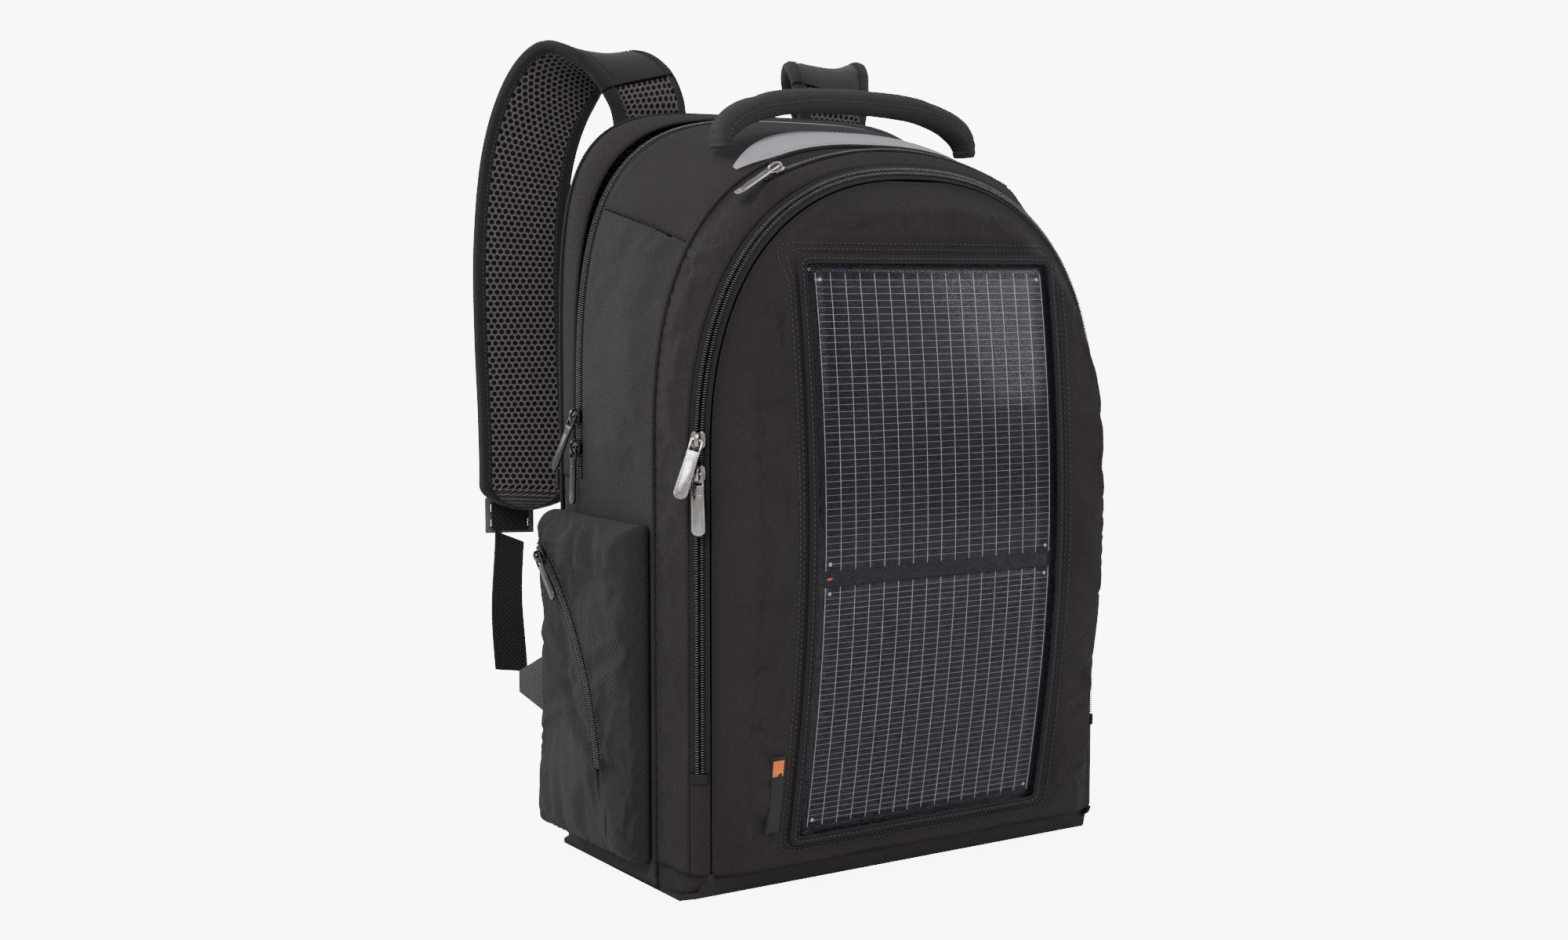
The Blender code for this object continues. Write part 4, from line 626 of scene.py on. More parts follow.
def box_uv(mesh):
    """A UV map in metres from the direction that each face looks in."""
    layer = mesh.uv_layers.get("UVMap") or mesh.uv_layers.new(name="UVMap")
    for face in mesh.polygons:
        axis = max(range(3), key=lambda k: abs(face.normal[k]))
        first, second = ((1, 2), (0, 2), (0, 1))[axis]
        for corner in face.loop_indices:
            point = mesh.vertices[mesh.loops[corner].vertex_index].co
            layer.data[corner].uv = (point[first], point[second])


def settle(piece, loose, frames=16, pressure=0.0, growth=0.0, cap=0.004, stiffness=12.0, bending=0.4):
    """Let the cloth between its sewn edges take its own folds, within a cap."""
    pinned = piece.vertex_groups.new(name="sewn")
    for index, share in enumerate(loose):
        pinned.add([index], 1.0 - share, "REPLACE")
    cloth = piece.modifiers.new("cloth", "CLOTH")
    settings = cloth.settings
    settings.quality = 4
    settings.mass = 0.15
    settings.tension_stiffness = stiffness
    settings.compression_stiffness = stiffness
    settings.shear_stiffness = stiffness * 0.5
    settings.bending_stiffness = bending
    settings.vertex_group_mass = "sewn"
    settings.pin_stiffness = 1.0
    settings.shrink_min = -growth
    settings.effector_weights.gravity = 0.0
    if pressure:
        settings.use_pressure = True
        settings.uniform_pressure_force = pressure
    cloth.collision_settings.use_collision = False
    scene = bpy.context.scene
    for number in range(1, frames + 1):
        scene.frame_set(number)
    moved = piece.evaluated_get(bpy.context.evaluated_depsgraph_get()).data
    for vert, after in zip(piece.data.vertices, moved.vertices):
        step = after.co - vert.co
        if step.length > cap:
            step *= cap / step.length
        if math.isfinite(step.length):
            vert.co = vert.co + step
    piece.modifiers.clear()
    piece.vertex_groups.clear()
    scene.frame_set(1)
    piece.data.update()
    return piece


def remesh(piece, voxel):
    made = piece.modifiers.new("voxels", "REMESH")
    made.mode = "VOXEL"
    made.voxel_size = voxel
    made.use_smooth_shade = True
    return apply_modifiers(piece)


def subdivide(piece, levels=1):
    made = piece.modifiers.new("smooth", "SUBSURF")
    made.levels = levels
    made.render_levels = levels
    return apply_modifiers(piece)


def dress(piece, materials, body, replaces=()):
    """Give a finished piece its materials, its body and its place in the record."""
    names = [materials] if isinstance(materials, str) else materials
    piece.data.materials.clear()
    for name in names:
        piece.data.materials.append(finish_of(name))
    if replaces:
        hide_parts(*replaces)
    if body:
        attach(piece, body)
    return piece


def round_edges(piece, width, segments, limit, sharp):
    """Bevelled edges, smooth faces and a UV map; both angles are in degrees."""
    bevel = piece.modifiers.new("rounding", "BEVEL")
    bevel.width = width
    bevel.segments = segments
    bevel.limit_method = "ANGLE"
    bevel.angle_limit = math.radians(limit)
    apply_modifiers(piece)
    piece.data.shade_smooth()
    piece.data.set_sharp_from_angle(angle=math.radians(sharp))
    box_uv(piece.data)
    return piece


def soften(node, name, width, segments=2):
    """A rounded copy of a CAD node."""
    mesh = frame["nodes"][node].data.copy()
    bm = bmesh.new()
    bm.from_mesh(mesh)
    bmesh.ops.remove_doubles(bm, verts=bm.verts, dist=0.00002)
    bmesh.ops.dissolve_limit(bm, angle_limit=math.radians(1.0), verts=bm.verts, edges=bm.edges)
    bmesh.ops.recalc_face_normals(bm, faces=bm.faces)
    bm.to_mesh(mesh)
    bm.free()
    return round_edges(link_mesh(name, mesh), width, segments, 25.0, 50.0)


def resample(points, pitch):
    """Points, directions and shares spaced evenly along a polyline."""
    points = np.array([tuple(point) for point in points], float)
    reach = np.concatenate([[0.0], np.cumsum(np.linalg.norm(np.diff(points, axis=0), axis=1))])
    count = max(int(round(reach[-1] / pitch)), 2)
    stops = np.linspace(0.0, reach[-1], count + 1)
    placed = np.stack([np.interp(stops, reach, points[:, k]) for k in range(3)], axis=1)
    along = np.gradient(placed, axis=0)
    along /= np.linalg.norm(along, axis=1)[:, None]
    shares = np.interp(stops, reach, np.linspace(0.0, 1.0, len(points)))
    return placed, along, shares


def at_shares(vectors, shares):
    vectors = np.array([tuple(vector) for vector in vectors], float)
    places = np.linspace(0.0, 1.0, len(vectors))
    mixed = np.stack([np.interp(shares, places, vectors[:, k]) for k in range(3)], axis=1)
    return mixed / np.linalg.norm(mixed, axis=1)[:, None]


def direction(points, index):
    """Which way a line runs at one of its points, with the neighbours' distance as length."""
    return Vector(points[min(index + 1, len(points) - 1)]) - Vector(points[max(index - 1, 0)])


def band(name, points, outward, width, thickness, crown=0.0, steps=6):
    """A flat band whose middle follows the points; outward is the side that shows."""
    grid = []
    profile = []
    for step in range(steps + 1):
        share = -1.0 + 2.0 * step / steps
        profile.append((share, thickness / 2.0 + crown * (1.0 - share * share)))
    profile += [(1.0, -thickness / 2.0), (-1.0, -thickness / 2.0)]
    for index, point in enumerate(points):
        point = Vector(point)
        along = direction(points, index)
        up = Vector(outward[index]).normalized()
        across = along.normalized().cross(up).normalized()
        up = across.cross(along).normalized()
        half = (width[index] if hasattr(width, "__len__") else width) / 2.0
        grid.append([point + across * half * share + up * depth for share, depth in profile])
    return tube_from(name, grid)


def tube_from(name, grid):
    """A closed tube: each row is a ring of points, and both ends are capped."""
    rows = len(grid)
    sides = len(grid[0])
    points = np.array([[tuple(point) for point in row] for row in grid], float)
    verts = points.reshape(-1, 3).tolist()
    faces = []
    uvs = []
    closed = np.concatenate([points, points[:, :1]], axis=1)
    u = cumulative(closed, 1)
    v = cumulative(points, 0).mean(axis=1)
    for i in range(rows - 1):
        for j in range(sides):
            k = (j + 1) % sides
            faces.append((i * sides + j, i * sides + k, (i + 1) * sides + k, (i + 1) * sides + j))
            uvs += [(u[i, j], v[i]), (u[i, j + 1], v[i])]
            uvs += [(u[i + 1, j + 1], v[i + 1]), (u[i + 1, j], v[i + 1])]
    for row in (0, rows - 1):
        ring = [row * sides + j for j in range(sides)]
        faces.append(ring)
        uvs += [(u[row, j], v[row]) for j in range(sides)]
    mesh = bpy.data.meshes.new(name)
    mesh.from_pydata(verts, [], faces)
    layer = mesh.uv_layers.new(name="UVMap")
    layer.data.foreach_set("uv", np.array(uvs).reshape(-1))
    bm = bmesh.new()
    bm.from_mesh(mesh)
    bmesh.ops.recalc_face_normals(bm, faces=bm.faces)
    if bm.calc_volume(signed=True) < 0.0:
        bmesh.ops.reverse_faces(bm, faces=bm.faces)
    bm.to_mesh(mesh)
    bm.free()
    mesh.shade_smooth()
    mesh.set_sharp_from_angle(angle=math.radians(55.0))
    return link_mesh(name, mesh)


def cord_tube(name, points, radius, sides=8, flat=1.0, outward=None):
    """Round piping along a line; flat squeezes it towards the cloth."""
    grid = []
    for index, point in enumerate(points):
        point = Vector(point)
        along = direction(points, index).normalized()
        up = Vector(outward[index]) if outward is not None else BACKWARD
        across = along.cross(up).normalized()
        up = across.cross(along).normalized()
        row = []
        for step in range(sides):
            turn = math.tau * step / sides
            row.append(point + across * math.cos(turn) * radius + up * math.sin(turn) * radius * flat)
        grid.append(row)
    return tube_from(name, grid)


def join(name, pieces):
    """One mesh out of several plain ones, which keep their material order."""
    bm = bmesh.new()
    for piece in pieces:
        bm.from_mesh(piece.data)
    mesh = bpy.data.meshes.new(name)
    bm.to_mesh(mesh)
    bm.free()
    for piece in pieces:
        old = piece.data
        bpy.data.objects.remove(piece, do_unlink=True)
        bpy.data.meshes.remove(old)
    mesh.set_sharp_from_angle(angle=math.radians(55.0))
    return link_mesh(name, mesh)


# ---------------------------------------------------------------- Geometry Nodes
def repeat_tree(kind):
    """Sets one small element on every point, turned by the points' own directions."""
    tree = bpy.data.node_groups.new(f"Repeat {kind}", "GeometryNodeTree")
    face = tree.interface
    face.new_socket("Geometry", in_out="INPUT", socket_type="NodeSocketGeometry")
    sizes = {}
    for label, kind_of, default in (
        ("Across", "Float", 0.003), ("Along", "Float", 0.001), ("Height", "Float", 0.001),
        ("Seed", "Int", SEED), ("Material", "Material", None),
    ):
        socket = face.new_socket(label, in_out="INPUT", socket_type=f"NodeSocket{kind_of}")
        if default is not None:
            socket.default_value = default
        sizes[label] = socket.identifier
    face.new_socket("Geometry", in_out="OUTPUT", socket_type="NodeSocketGeometry")
    graph = Graph(tree)
    entry = graph.node("NodeGroupInput")
    leave = graph.node("NodeGroupOutput")
    if kind == "box":
        element = graph.node("GeometryNodeMeshCube").outputs["Mesh"]
    else:
        ball = graph.node("GeometryNodeMeshUVSphere", {"Segments": 6, "Rings": 4, "Radius": 0.5})
        element = graph.node(
            "GeometryNodeSetShadeSmooth", {"Geometry": ball.outputs["Mesh"], "Shade Smooth": True}
        ).outputs[0]
    size = graph.node("ShaderNodeCombineXYZ")
    for index, label in enumerate(("Across", "Along", "Height")):
        tree.links.new(entry.outputs[label], size.inputs[index])
    scaled = graph.node("GeometryNodeTransform", {"Geometry": element, "Scale": size.outputs[0]})
    turn = graph.node("FunctionNodeAxesToRotation", primary_axis="Z", secondary_axis="Y")
    for label, index in (("outward", 0), ("along", 1)):
        vector = graph.node("GeometryNodeInputNamedAttribute", {"Name": label}, data_type="FLOAT_VECTOR")
        tree.links.new(vector.outputs["Attribute"], turn.inputs[index])
    wobble = graph.node("FunctionNodeRandomValue", {"Seed": entry.outputs["Seed"]}, data_type="FLOAT")
    for socket in wobble.inputs:
        if socket.type == "VALUE" and socket.name in WOBBLE:
            socket.default_value = WOBBLE[socket.name]
    random_size = [out for out in wobble.outputs if out.type == "VALUE"][0]
    placed = graph.node(
        "GeometryNodeInstanceOnPoints",
        {"Points": entry.outputs["Geometry"], "Instance": scaled.outputs[0], "Rotation": turn.outputs[0]},
    )
    if kind != "box":
        tree.links.new(random_size, placed.inputs["Scale"])
    real = graph.node("GeometryNodeRealizeInstances", {"Geometry": placed.outputs[0]})
    done = graph.node(
        "GeometryNodeSetMaterial", {"Geometry": real.outputs[0], "Material": entry.outputs["Material"]}
    )
    tree.links.new(done.outputs[0], leave.inputs[0])
    tree["sizes"] = json.dumps(sizes)
    return tree


def repeat(name, points, along, outward, size, material, kind="bead"):
    """One plain mesh of elements set on points; size is across, along and height in metres."""
    tree = bpy.data.node_groups.get(f"Repeat {kind}") or repeat_tree(kind)
    identifiers = json.loads(tree["sizes"])
    mesh = bpy.data.meshes.new(name)
    mesh.from_pydata([tuple(point) for point in points], [], [])
    for label, vectors in (("along", along), ("outward", outward)):
        attribute = mesh.attributes.new(label, "FLOAT_VECTOR", "POINT")
        attribute.data.foreach_set("vector", np.array([tuple(v) for v in vectors], float).reshape(-1))
    piece = link_mesh(name, mesh)
    nodes = piece.modifiers.new("repeat", "NODES")
    nodes.node_group = tree
    for label, value in zip(("Across", "Along", "Height"), size):
        nodes[identifiers[label]] = float(value)
    nodes[identifiers["Seed"]] = SEED
    nodes[identifiers["Material"]] = finish_of(material)
    apply_modifiers(piece)
    box_uv(piece.data)
    return piece


def stitches(name, lines, body, material="thread", pitch=None, size=(0.00080, 0.0025, 0.00070)):
    """Topstitching along lines, each a pair of points and outward directions."""
    pitch = pitch or bpy.context.scene.solar_pack_sizes.stitch_pitch
    all_points, all_along, all_outward = [], [], []
    for points, outward in lines:
        placed, along, shares = resample(points, pitch)
        up = at_shares(outward, shares)
        all_points.append(placed + up * size[2] * 0.25)
        all_along.append(along)
        all_outward.append(up)
    parts = [np.concatenate(arrays) for arrays in (all_points, all_along, all_outward)]
    piece = repeat(name, *parts, size, material)
    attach(piece, body)
    return piece


# ---------------------------------------------------------------- body outline
def smoothstep(value):
    value = min(max(value, 0.0), 1.0)
    return value * value * (3.0 - 2.0 * value)


def bell(value, centre, reach):
    """One at the centre, falling smoothly to nothing at the reach."""
    return 1.0 - smoothstep(abs(value - centre) / reach)


def spread(start, end, count):
    return [start + (end - start) * index / (count - 1) for index in range(count)]


def section(y):
    y = min(max(y, SECTIONS[0][0]), SECTIONS[-1][0])
    for near, far in zip(SECTIONS, SECTIONS[1:]):
        if y <= far[0]:
            share = (y - near[0]) / (far[0] - near[0])
            return [a + (b - a) * share for a, b in zip(near[1:], far[1:])]
    return list(SECTIONS[-1][1:])


def arch_height(x, half, top, power):
    share = max(1.0 - (abs(x) / half) ** power, 0.0)
    return SPRING_Z + (top - SPRING_Z) * share ** (1.0 / power)


def top_height(x, y):
    return arch_height(x, *section(y))


def outline_point(y, u, foot_z=WALL_FOOT_Z):
    """Left foot at u = 0, left spring at 1, right spring at 3 and right foot at 4."""
    half, top, power = section(y)
    if u <= 1.0:
        return Vector((-half, y, foot_z + (SPRING_Z - foot_z) * u))
    if u >= 3.0:
        return Vector((half, y, foot_z + (SPRING_Z - foot_z) * (4.0 - u)))
    angle = math.pi * (3.0 - u) / 2.0
    c = math.cos(angle)
    s = math.sin(angle)
    radius = (abs(c) ** power + abs(s) ** power) ** (-1.0 / power)
    return Vector((half * c * radius, y, SPRING_Z + (top - SPRING_Z) * s * radius))


def outward(y, u):
    along = outline_point(y, min(u + 0.004, 4.0)) - outline_point(y, max(u - 0.004, 0.0))
    return Vector((-along.z, 0.0, along.x)).normalized()


def parameter_at_z(z):
    return (z - WALL_FOOT_Z) / (SPRING_Z - WALL_FOOT_Z)


def outline_parameters(start, end, straight=26, curved=150):
    """Parameters from start to end, close together around the arch."""
    stops = [start] + [u for u in (1.0, 3.0) if start < u < end] + [end]
    values = []
    for low, high in zip(stops, stops[1:]):
        dense = curved / 2.0 if low >= 1.0 and high <= 3.0 else straight
        count = max(3, int(math.ceil((high - low) * dense)) + 1)
        values += spread(low, high, count)[:-1]
    return values + [end]


def folds(point, scale, stretch=(1.0, 1.0, 1.0)):
    """Slow noise between minus one and one, longer along a stretched axis."""
    moved = Vector([point[k] * scale / stretch[k] for k in range(3)])
    return noise.noise(moved) + 0.4 * noise.noise(moved * 2.3 + Vector((5.1, 2.7, 9.2)))


# ---------------------------------------------------------------- body cloth
def wall_offset(y, point, low_y, high_y):
    """How far the cloth of a wall stands out of its plane: slack between its seams."""
    share = (y - low_y) / (high_y - low_y)
    belly = math.sin(math.pi * min(max(share, 0.0), 1.0))
    free = smoothstep((point.z - 0.232) / 0.05)
    fold = folds(point, 16.0, (1.0, 0.6, 1.7))
    return belly * free * (0.0020 + 0.0028 * fold)


def side_panel(word, side):
    """The tall side wall, with its foot running back to the padded panel."""
    rear_edge = MAIN_ZIP_Y - TAPE_WIDTH - GAP
    low_top = parameter_at_z(MAIN_ZIP_END_Z - GAP)
    parameters = spread(0.0, low_top, 34) + outline_parameters(low_top + 0.004, SHOULDER_SPLIT, 60, 150)
    front_rows = spread(SEAM_Y + GAP, rear_edge, 22)
    rear_rows = spread(rear_edge, BACK_Y - GAP, 8)[1:]
    grid = []
    for u in parameters:
        row = []
        for y in front_rows + rear_rows:
            point = outline_point(y, u)
            rise = wall_offset(y, point, SEAM_Y, rear_edge) if y <= rear_edge else 0.0
            point += outward(y, u) * rise
            row.append((point.x * -side, point.y, point.z))
        grid.append(row)
    split_row = 33
    split_column = len(front_rows) - 1
    piece = loft(
        f"side_cloth_{word}", grid, Vector((side, 0.0, 0.0)),
        keep=lambda i, j: i < split_row or j < split_column,
    )
    loose = []
    for vert in piece.data.vertices:
        edge = min(vert.co.y - SEAM_Y, rear_edge - vert.co.y)
        free = smoothstep(edge / 0.014) * smoothstep((vert.co.z - 0.245) / 0.03)
        free *= smoothstep((0.425 - vert.co.z) / 0.03)
        loose.append(free)
    settle(piece, loose, pressure=1.2, growth=0.015, cap=0.0028)
    thicken(piece, FABRIC * 0.8)
    dress(piece, "side_fabric", "pack_body", [f"side_panel_{word}"])


def make_side_panels():
    for word, side in SIDES:
        side_panel(word, side)


def make_top_gusset():
    start = SHOULDER_SPLIT + 0.002
    rear_edge = MAIN_ZIP_Y - TAPE_WIDTH - GAP
    grid = []
    for u in outline_parameters(start, 4.0 - start, 20, 130):
        row = []
        for y in spread(SEAM_Y + GAP, rear_edge, 20):
            point = outline_point(y, u)
            row.append(point + outward(y, u) * 0.0006 * folds(point, 22.0))
        grid.append(row)
    piece = loft("top_gusset_cloth", grid, from_middle)
    thicken(piece, FABRIC * 0.8)
    dress(piece, "bag_fabric", "pack_body", ["top_gusset"])


def gusset_front_point(u):
    point = outline_point(FRONT_ZIP_Y, u) + outward(FRONT_ZIP_Y, u) * GUSSET_SIDESTEP
    return Vector((point.x, GUSSET_FRONT_Y, point.z))


def zip_bed(point):
    """How far the cloth must rise to carry the zip of the top slot."""
    if abs(point.x) > TOP_ZIP_RADIUS * 0.5 or point.z < 0.40:
        return 0.0
    bed = TOP_ZIP_CENTRE_Z + math.sqrt(TOP_ZIP_RADIUS ** 2 - point.x ** 2) - 0.0004
    end = TOP_ZIP_RADIUS * math.sin(TOP_ZIP_HALF_ANGLE)
    weight = bell(point.y, TOP_ZIP_Y, 0.017) * smoothstep((end + 0.012 - abs(point.x)) / 0.014)
    return (bed - point.z) * min(weight * 1.5, 1.0)


def make_front_gusset():
    """The band around the front pocket, from its zip to the seam behind it."""
    start = parameter_at_z(0.021)
    grid = []
    for u in outline_parameters(start, 4.0 - start, 60, 150):
        front = gusset_front_point(u)
        rear = outline_point(SEAM_Y - GAP, u)
        row = []
        for share in spread(0.0, 1.0, 14):
            point = front.lerp(rear, share)
            under_zip = bell(point.z, 0.46, 0.035)
            belly = math.sin(math.pi * share) * (1.0 - under_zip)
            rise = belly * (0.0026 + 0.0026 * folds(point, 15.0, (1.0, 0.5, 1.0)))
            point += outward(SEAM_Y, u) * rise
            row.append(point + Vector((0.0, 0.0, zip_bed(point))))
        grid.append(row)
    piece = loft("front_gusset_cloth", grid, from_middle)
    loose = []
    for vert in piece.data.vertices:
        edge = min(vert.co.y - GUSSET_FRONT_Y, SEAM_Y - vert.co.y)
        loose.append(smoothstep(edge / 0.012) * smoothstep((0.42 - vert.co.z) / 0.03))
    settle(piece, loose, pressure=0.8, growth=0.02, cap=0.0025)
    thicken(piece, FABRIC * 0.8)
    dress(piece, "bag_fabric", "pack_body", ["front_gusset"])


def make_base():
    """The flat base, whose front edge turns up to the cover's foot."""
    piece = soften("base_panel", "base_cloth", 0.0018, 3)
    for vert in piece.data.vertices:
        vert.co.x -= math.copysign(0.0016, vert.co.x) * smoothstep(abs(vert.co.x) / 0.15)
    dress(piece, "bag_fabric", "pack_body", ["base_panel"])


def base_height(y):
    """Underside of the base, which turns up towards the cover's foot."""
    share = min(max((BASE_FRONT_Y - y) / (BASE_FRONT_Y - FACE_FOOT_Y), 0.0), 1.0)
    return LIP_Z * share


def make_corner_cloth():
    """Rounded cloth between the front gusset's foot and the base."""
    for word, side in SIDES:
        grid = []
        for y in spread(FACE_FOOT_Y + 0.0020, SEAM_Y + 0.0010, 24):
            top = outline_point(max(y, FRONT_ZIP_Y), 0.0).x * -side
            forward = smoothstep((SEAM_Y - 0.024 - y) / 0.022)
            top -= side * 0.0045 * forward
            row = []
            for share in spread(0.0, 1.0, 12):
                turn = share * math.pi / 2.0
                z = 0.0212 + (base_height(y) + 0.0012 - 0.0212) * math.sin(turn)
                x = top - side * (0.0006 + 0.0040 * (1.0 - math.cos(turn)))
                row.append((x, y, z))
            grid.append(row)
        piece = loft(f"corner_cloth_{word}", grid, Vector((side, 0.0, 0.0)))
        thicken(piece, 0.0014)
        dress(piece, "bag_fabric", "pack_body")


def dart_line(z):
    u = parameter_at_z(z)
    centre = outline_point(FRONT_ZIP_Y, u)
    side = outward(FRONT_ZIP_Y, u)
    back = BACKWARD
    normal = (side - back).normalized()
    return centre - normal * (CHAIN_HEIGHT - TAPE_HEIGHT * 0.5), normal


def make_corner_darts():
    """The sewn corners that close the front zip's line below its ends."""
    for word, side in SIDES:
        lines = [dart_line(z) for z in spread(0.0208, FRONT_ZIP_END_Z - GAP, 16)]
        points = [(p.x * -side, p.y, p.z) for p, _ in lines]
        normals = [(n.x * -side, n.y, n.z) for _, n in lines]
        strip = band(f"dart_{word}", points, normals, TAPE_WIDTH * 2.0, TAPE_HEIGHT, 0.0009)
        dress(strip, "bag_fabric", "pack_body", [f"corner_dart_{word}"])
        stop = Vector(points[-1]) + Vector(normals[-1]) * 0.0016
        block = band(
            f"zip_stop_{word}", [stop - Vector((0.0, 0.0, 0.006)), stop + Vector((0.0, 0.0, -0.0002))],
            [normals[-1]] * 2, 0.0105, 0.0012, 0.0006,
        )
        dress(block, "binding", "pack_body")


# ---------------------------------------------------------------- front cover
def face_y(z):
    """The bulging outer surface of the cover."""
    if z <= FACE_MIDDLE_Z:
        share = (FACE_MIDDLE_Z - z) / (FACE_MIDDLE_Z - COVER_FOOT_Z)
        return FACE_MIDDLE_Y + (FACE_FOOT_Y - FACE_MIDDLE_Y) * (1.0 - math.cos(share * math.pi / 2.0))
    share = (z - FACE_MIDDLE_Z) / (FACE_HEAD_Z - FACE_MIDDLE_Z)
    return FACE_MIDDLE_Y + (FACE_HEAD_Y - FACE_MIDDLE_Y) * share ** 2


def face_normal(z):
    slope = (face_y(z + 0.002) - face_y(z - 0.002)) / 0.004
    return Vector((0.0, -1.0, slope)).normalized()


COVER_HALF = SECTIONS[0][1] - COVER_INSET
COVER_TOP_Z = SECTIONS[0][2] - COVER_INSET
COVER_POWER = SECTIONS[0][3]


def cover_edge(z):
    if z <= SPRING_Z:
        return COVER_HALF
    rise = min((z - SPRING_Z) / (COVER_TOP_Z - SPRING_Z), 1.0)
    return COVER_HALF * (1.0 - rise ** COVER_POWER) ** (1.0 / COVER_POWER)


def cover_reach(x, z):
    reach = abs(x) / COVER_HALF
    if z > SPRING_Z:
        rise = (z - SPRING_Z) / (COVER_TOP_Z - SPRING_Z)
        reach = (reach ** COVER_POWER + rise ** COVER_POWER) ** (1.0 / COVER_POWER)
    return reach


def outside_window(x, z):
    """Distance from the window's edge, nothing inside it."""
    dx = max(abs(x) - WINDOW_HALF, 0.0)
    dz = max(WINDOW_FOOT_Z - z, z - WINDOW_HEAD_Z, 0.0)
    return math.hypot(dx, dz)


def cover_surface(x, z):
    """Outer surface of the cover's cloth, with its slack folds outside the window."""
    reach = cover_reach(x, z)
    turn = smoothstep((reach - 0.88) / 0.12)
    y = face_y(min(z, FACE_HEAD_Z + 0.006)) * (1.0 - turn) + COVER_RIM_Y * turn
    free = smoothstep((outside_window(x, z) - 0.003) / 0.012) * (1.0 - turn)
    side = -1.0 if x < 0.0 else 1.0
    point = Vector((x, 0.0, z))
    puff = 0.0020 + 0.0022 * folds(point, 17.0, (1.0, 1.0, 1.5))
    drape = 0.0030 * bell(z, 0.292 - 0.35 * (abs(x) - 0.12), 0.016) * smoothstep((abs(x) - 0.108) / 0.02)
    low_fold = 0.0038 * bell(z, 0.062 + 0.55 * (abs(x) - 0.12), 0.014) * smoothstep((abs(x) - 0.112) / 0.02)
    hollow = 0.0026 * bell(z, 0.092 + 0.4 * (abs(x) - 0.12), 0.012) * smoothstep((abs(x) - 0.108) / 0.02)
    if side > 0.0:
        drape *= 0.5
        low_fold *= 0.7
    return y - free * (puff + drape + low_fold - hollow) + 0.0004 * (1.0 - free) * (1.0 - turn)


def arch_rows(foot_z, spring_z, top_z, straight, curved):
    rows = spread(foot_z, spring_z, straight)[:-1]
    for step in range(curved + 1):
        rows.append(spring_z + (top_z - spring_z) * math.sin(math.pi / 2.0 * step / curved))
    return rows


def make_cover():
    """The cover's cloth, lofted over the bulging face and let slack around the window."""
    rows = arch_rows(COVER_FOOT_Z, SPRING_Z, COVER_TOP_Z - 0.0006, 84, 70)
    columns = 108
    grid = []
    for z in rows:
        edge = cover_edge(z)
        row = []
        for step in range(columns + 1):
            share = math.sin(math.pi / 2.0 * (2.0 * step / columns - 1.0) * 0.86) / math.sin(math.pi * 0.43)
            x = edge * share
            row.append((x, cover_surface(x, z), z))
        grid.append(row)
    piece = loft("cover_cloth", grid, FORWARD)
    loose = []
    for vert in piece.data.vertices:
        free = smoothstep((outside_window(vert.co.x, vert.co.z) - 0.006) / 0.012)
        free *= smoothstep((0.965 - cover_reach(vert.co.x, vert.co.z)) / 0.06)
        loose.append(free * smoothstep((vert.co.z - 0.026) / 0.01))
    settle(piece, loose, pressure=0.9, growth=0.022, cap=0.0028)
    thicken(piece, 0.0022)
    dress(piece, "bag_fabric", "front_cover", ["cover_panel"])


def face_strip(name, xs, levels, depth, thickness, material, body="front_cover",
               replaces=()):
    """A thin plate along the bulging face; depth is how far in front of it its outside lies."""
    grid = []
    for z in levels:
        normal = face_normal(z)
        grid.append([Vector((x, face_y(z), z)) + normal * depth for x in xs])
    piece = loft(name, grid, FORWARD)
    thicken(piece, thickness)
    return dress(piece, material, body, replaces)


def window_loop(half, foot_z, head_z, depth, corner, step=0.004):
    """A rounded rectangle on the face, with its outward directions."""
    flat = []
    for cx, cz, start in (
        (half - corner, head_z - corner, 0.0), (corner - half, head_z - corner, 90.0),
        (corner - half, foot_z + corner, 180.0), (half - corner, foot_z + corner, 270.0),
    ):
        for k in range(7):
            turn = math.radians(start + 15.0 * k)
            flat.append((cx + corner * math.cos(turn), cz + corner * math.sin(turn)))
    flat.append(flat[0])
    placed, _, _ = resample([(x, 0.0, z) for x, z in flat], step)
    points = []
    normals = []
    for x, _, z in placed:
        normal = face_normal(z)
        points.append(Vector((x, face_y(z), z)) + normal * depth)
        normals.append(normal)
    return points, normals


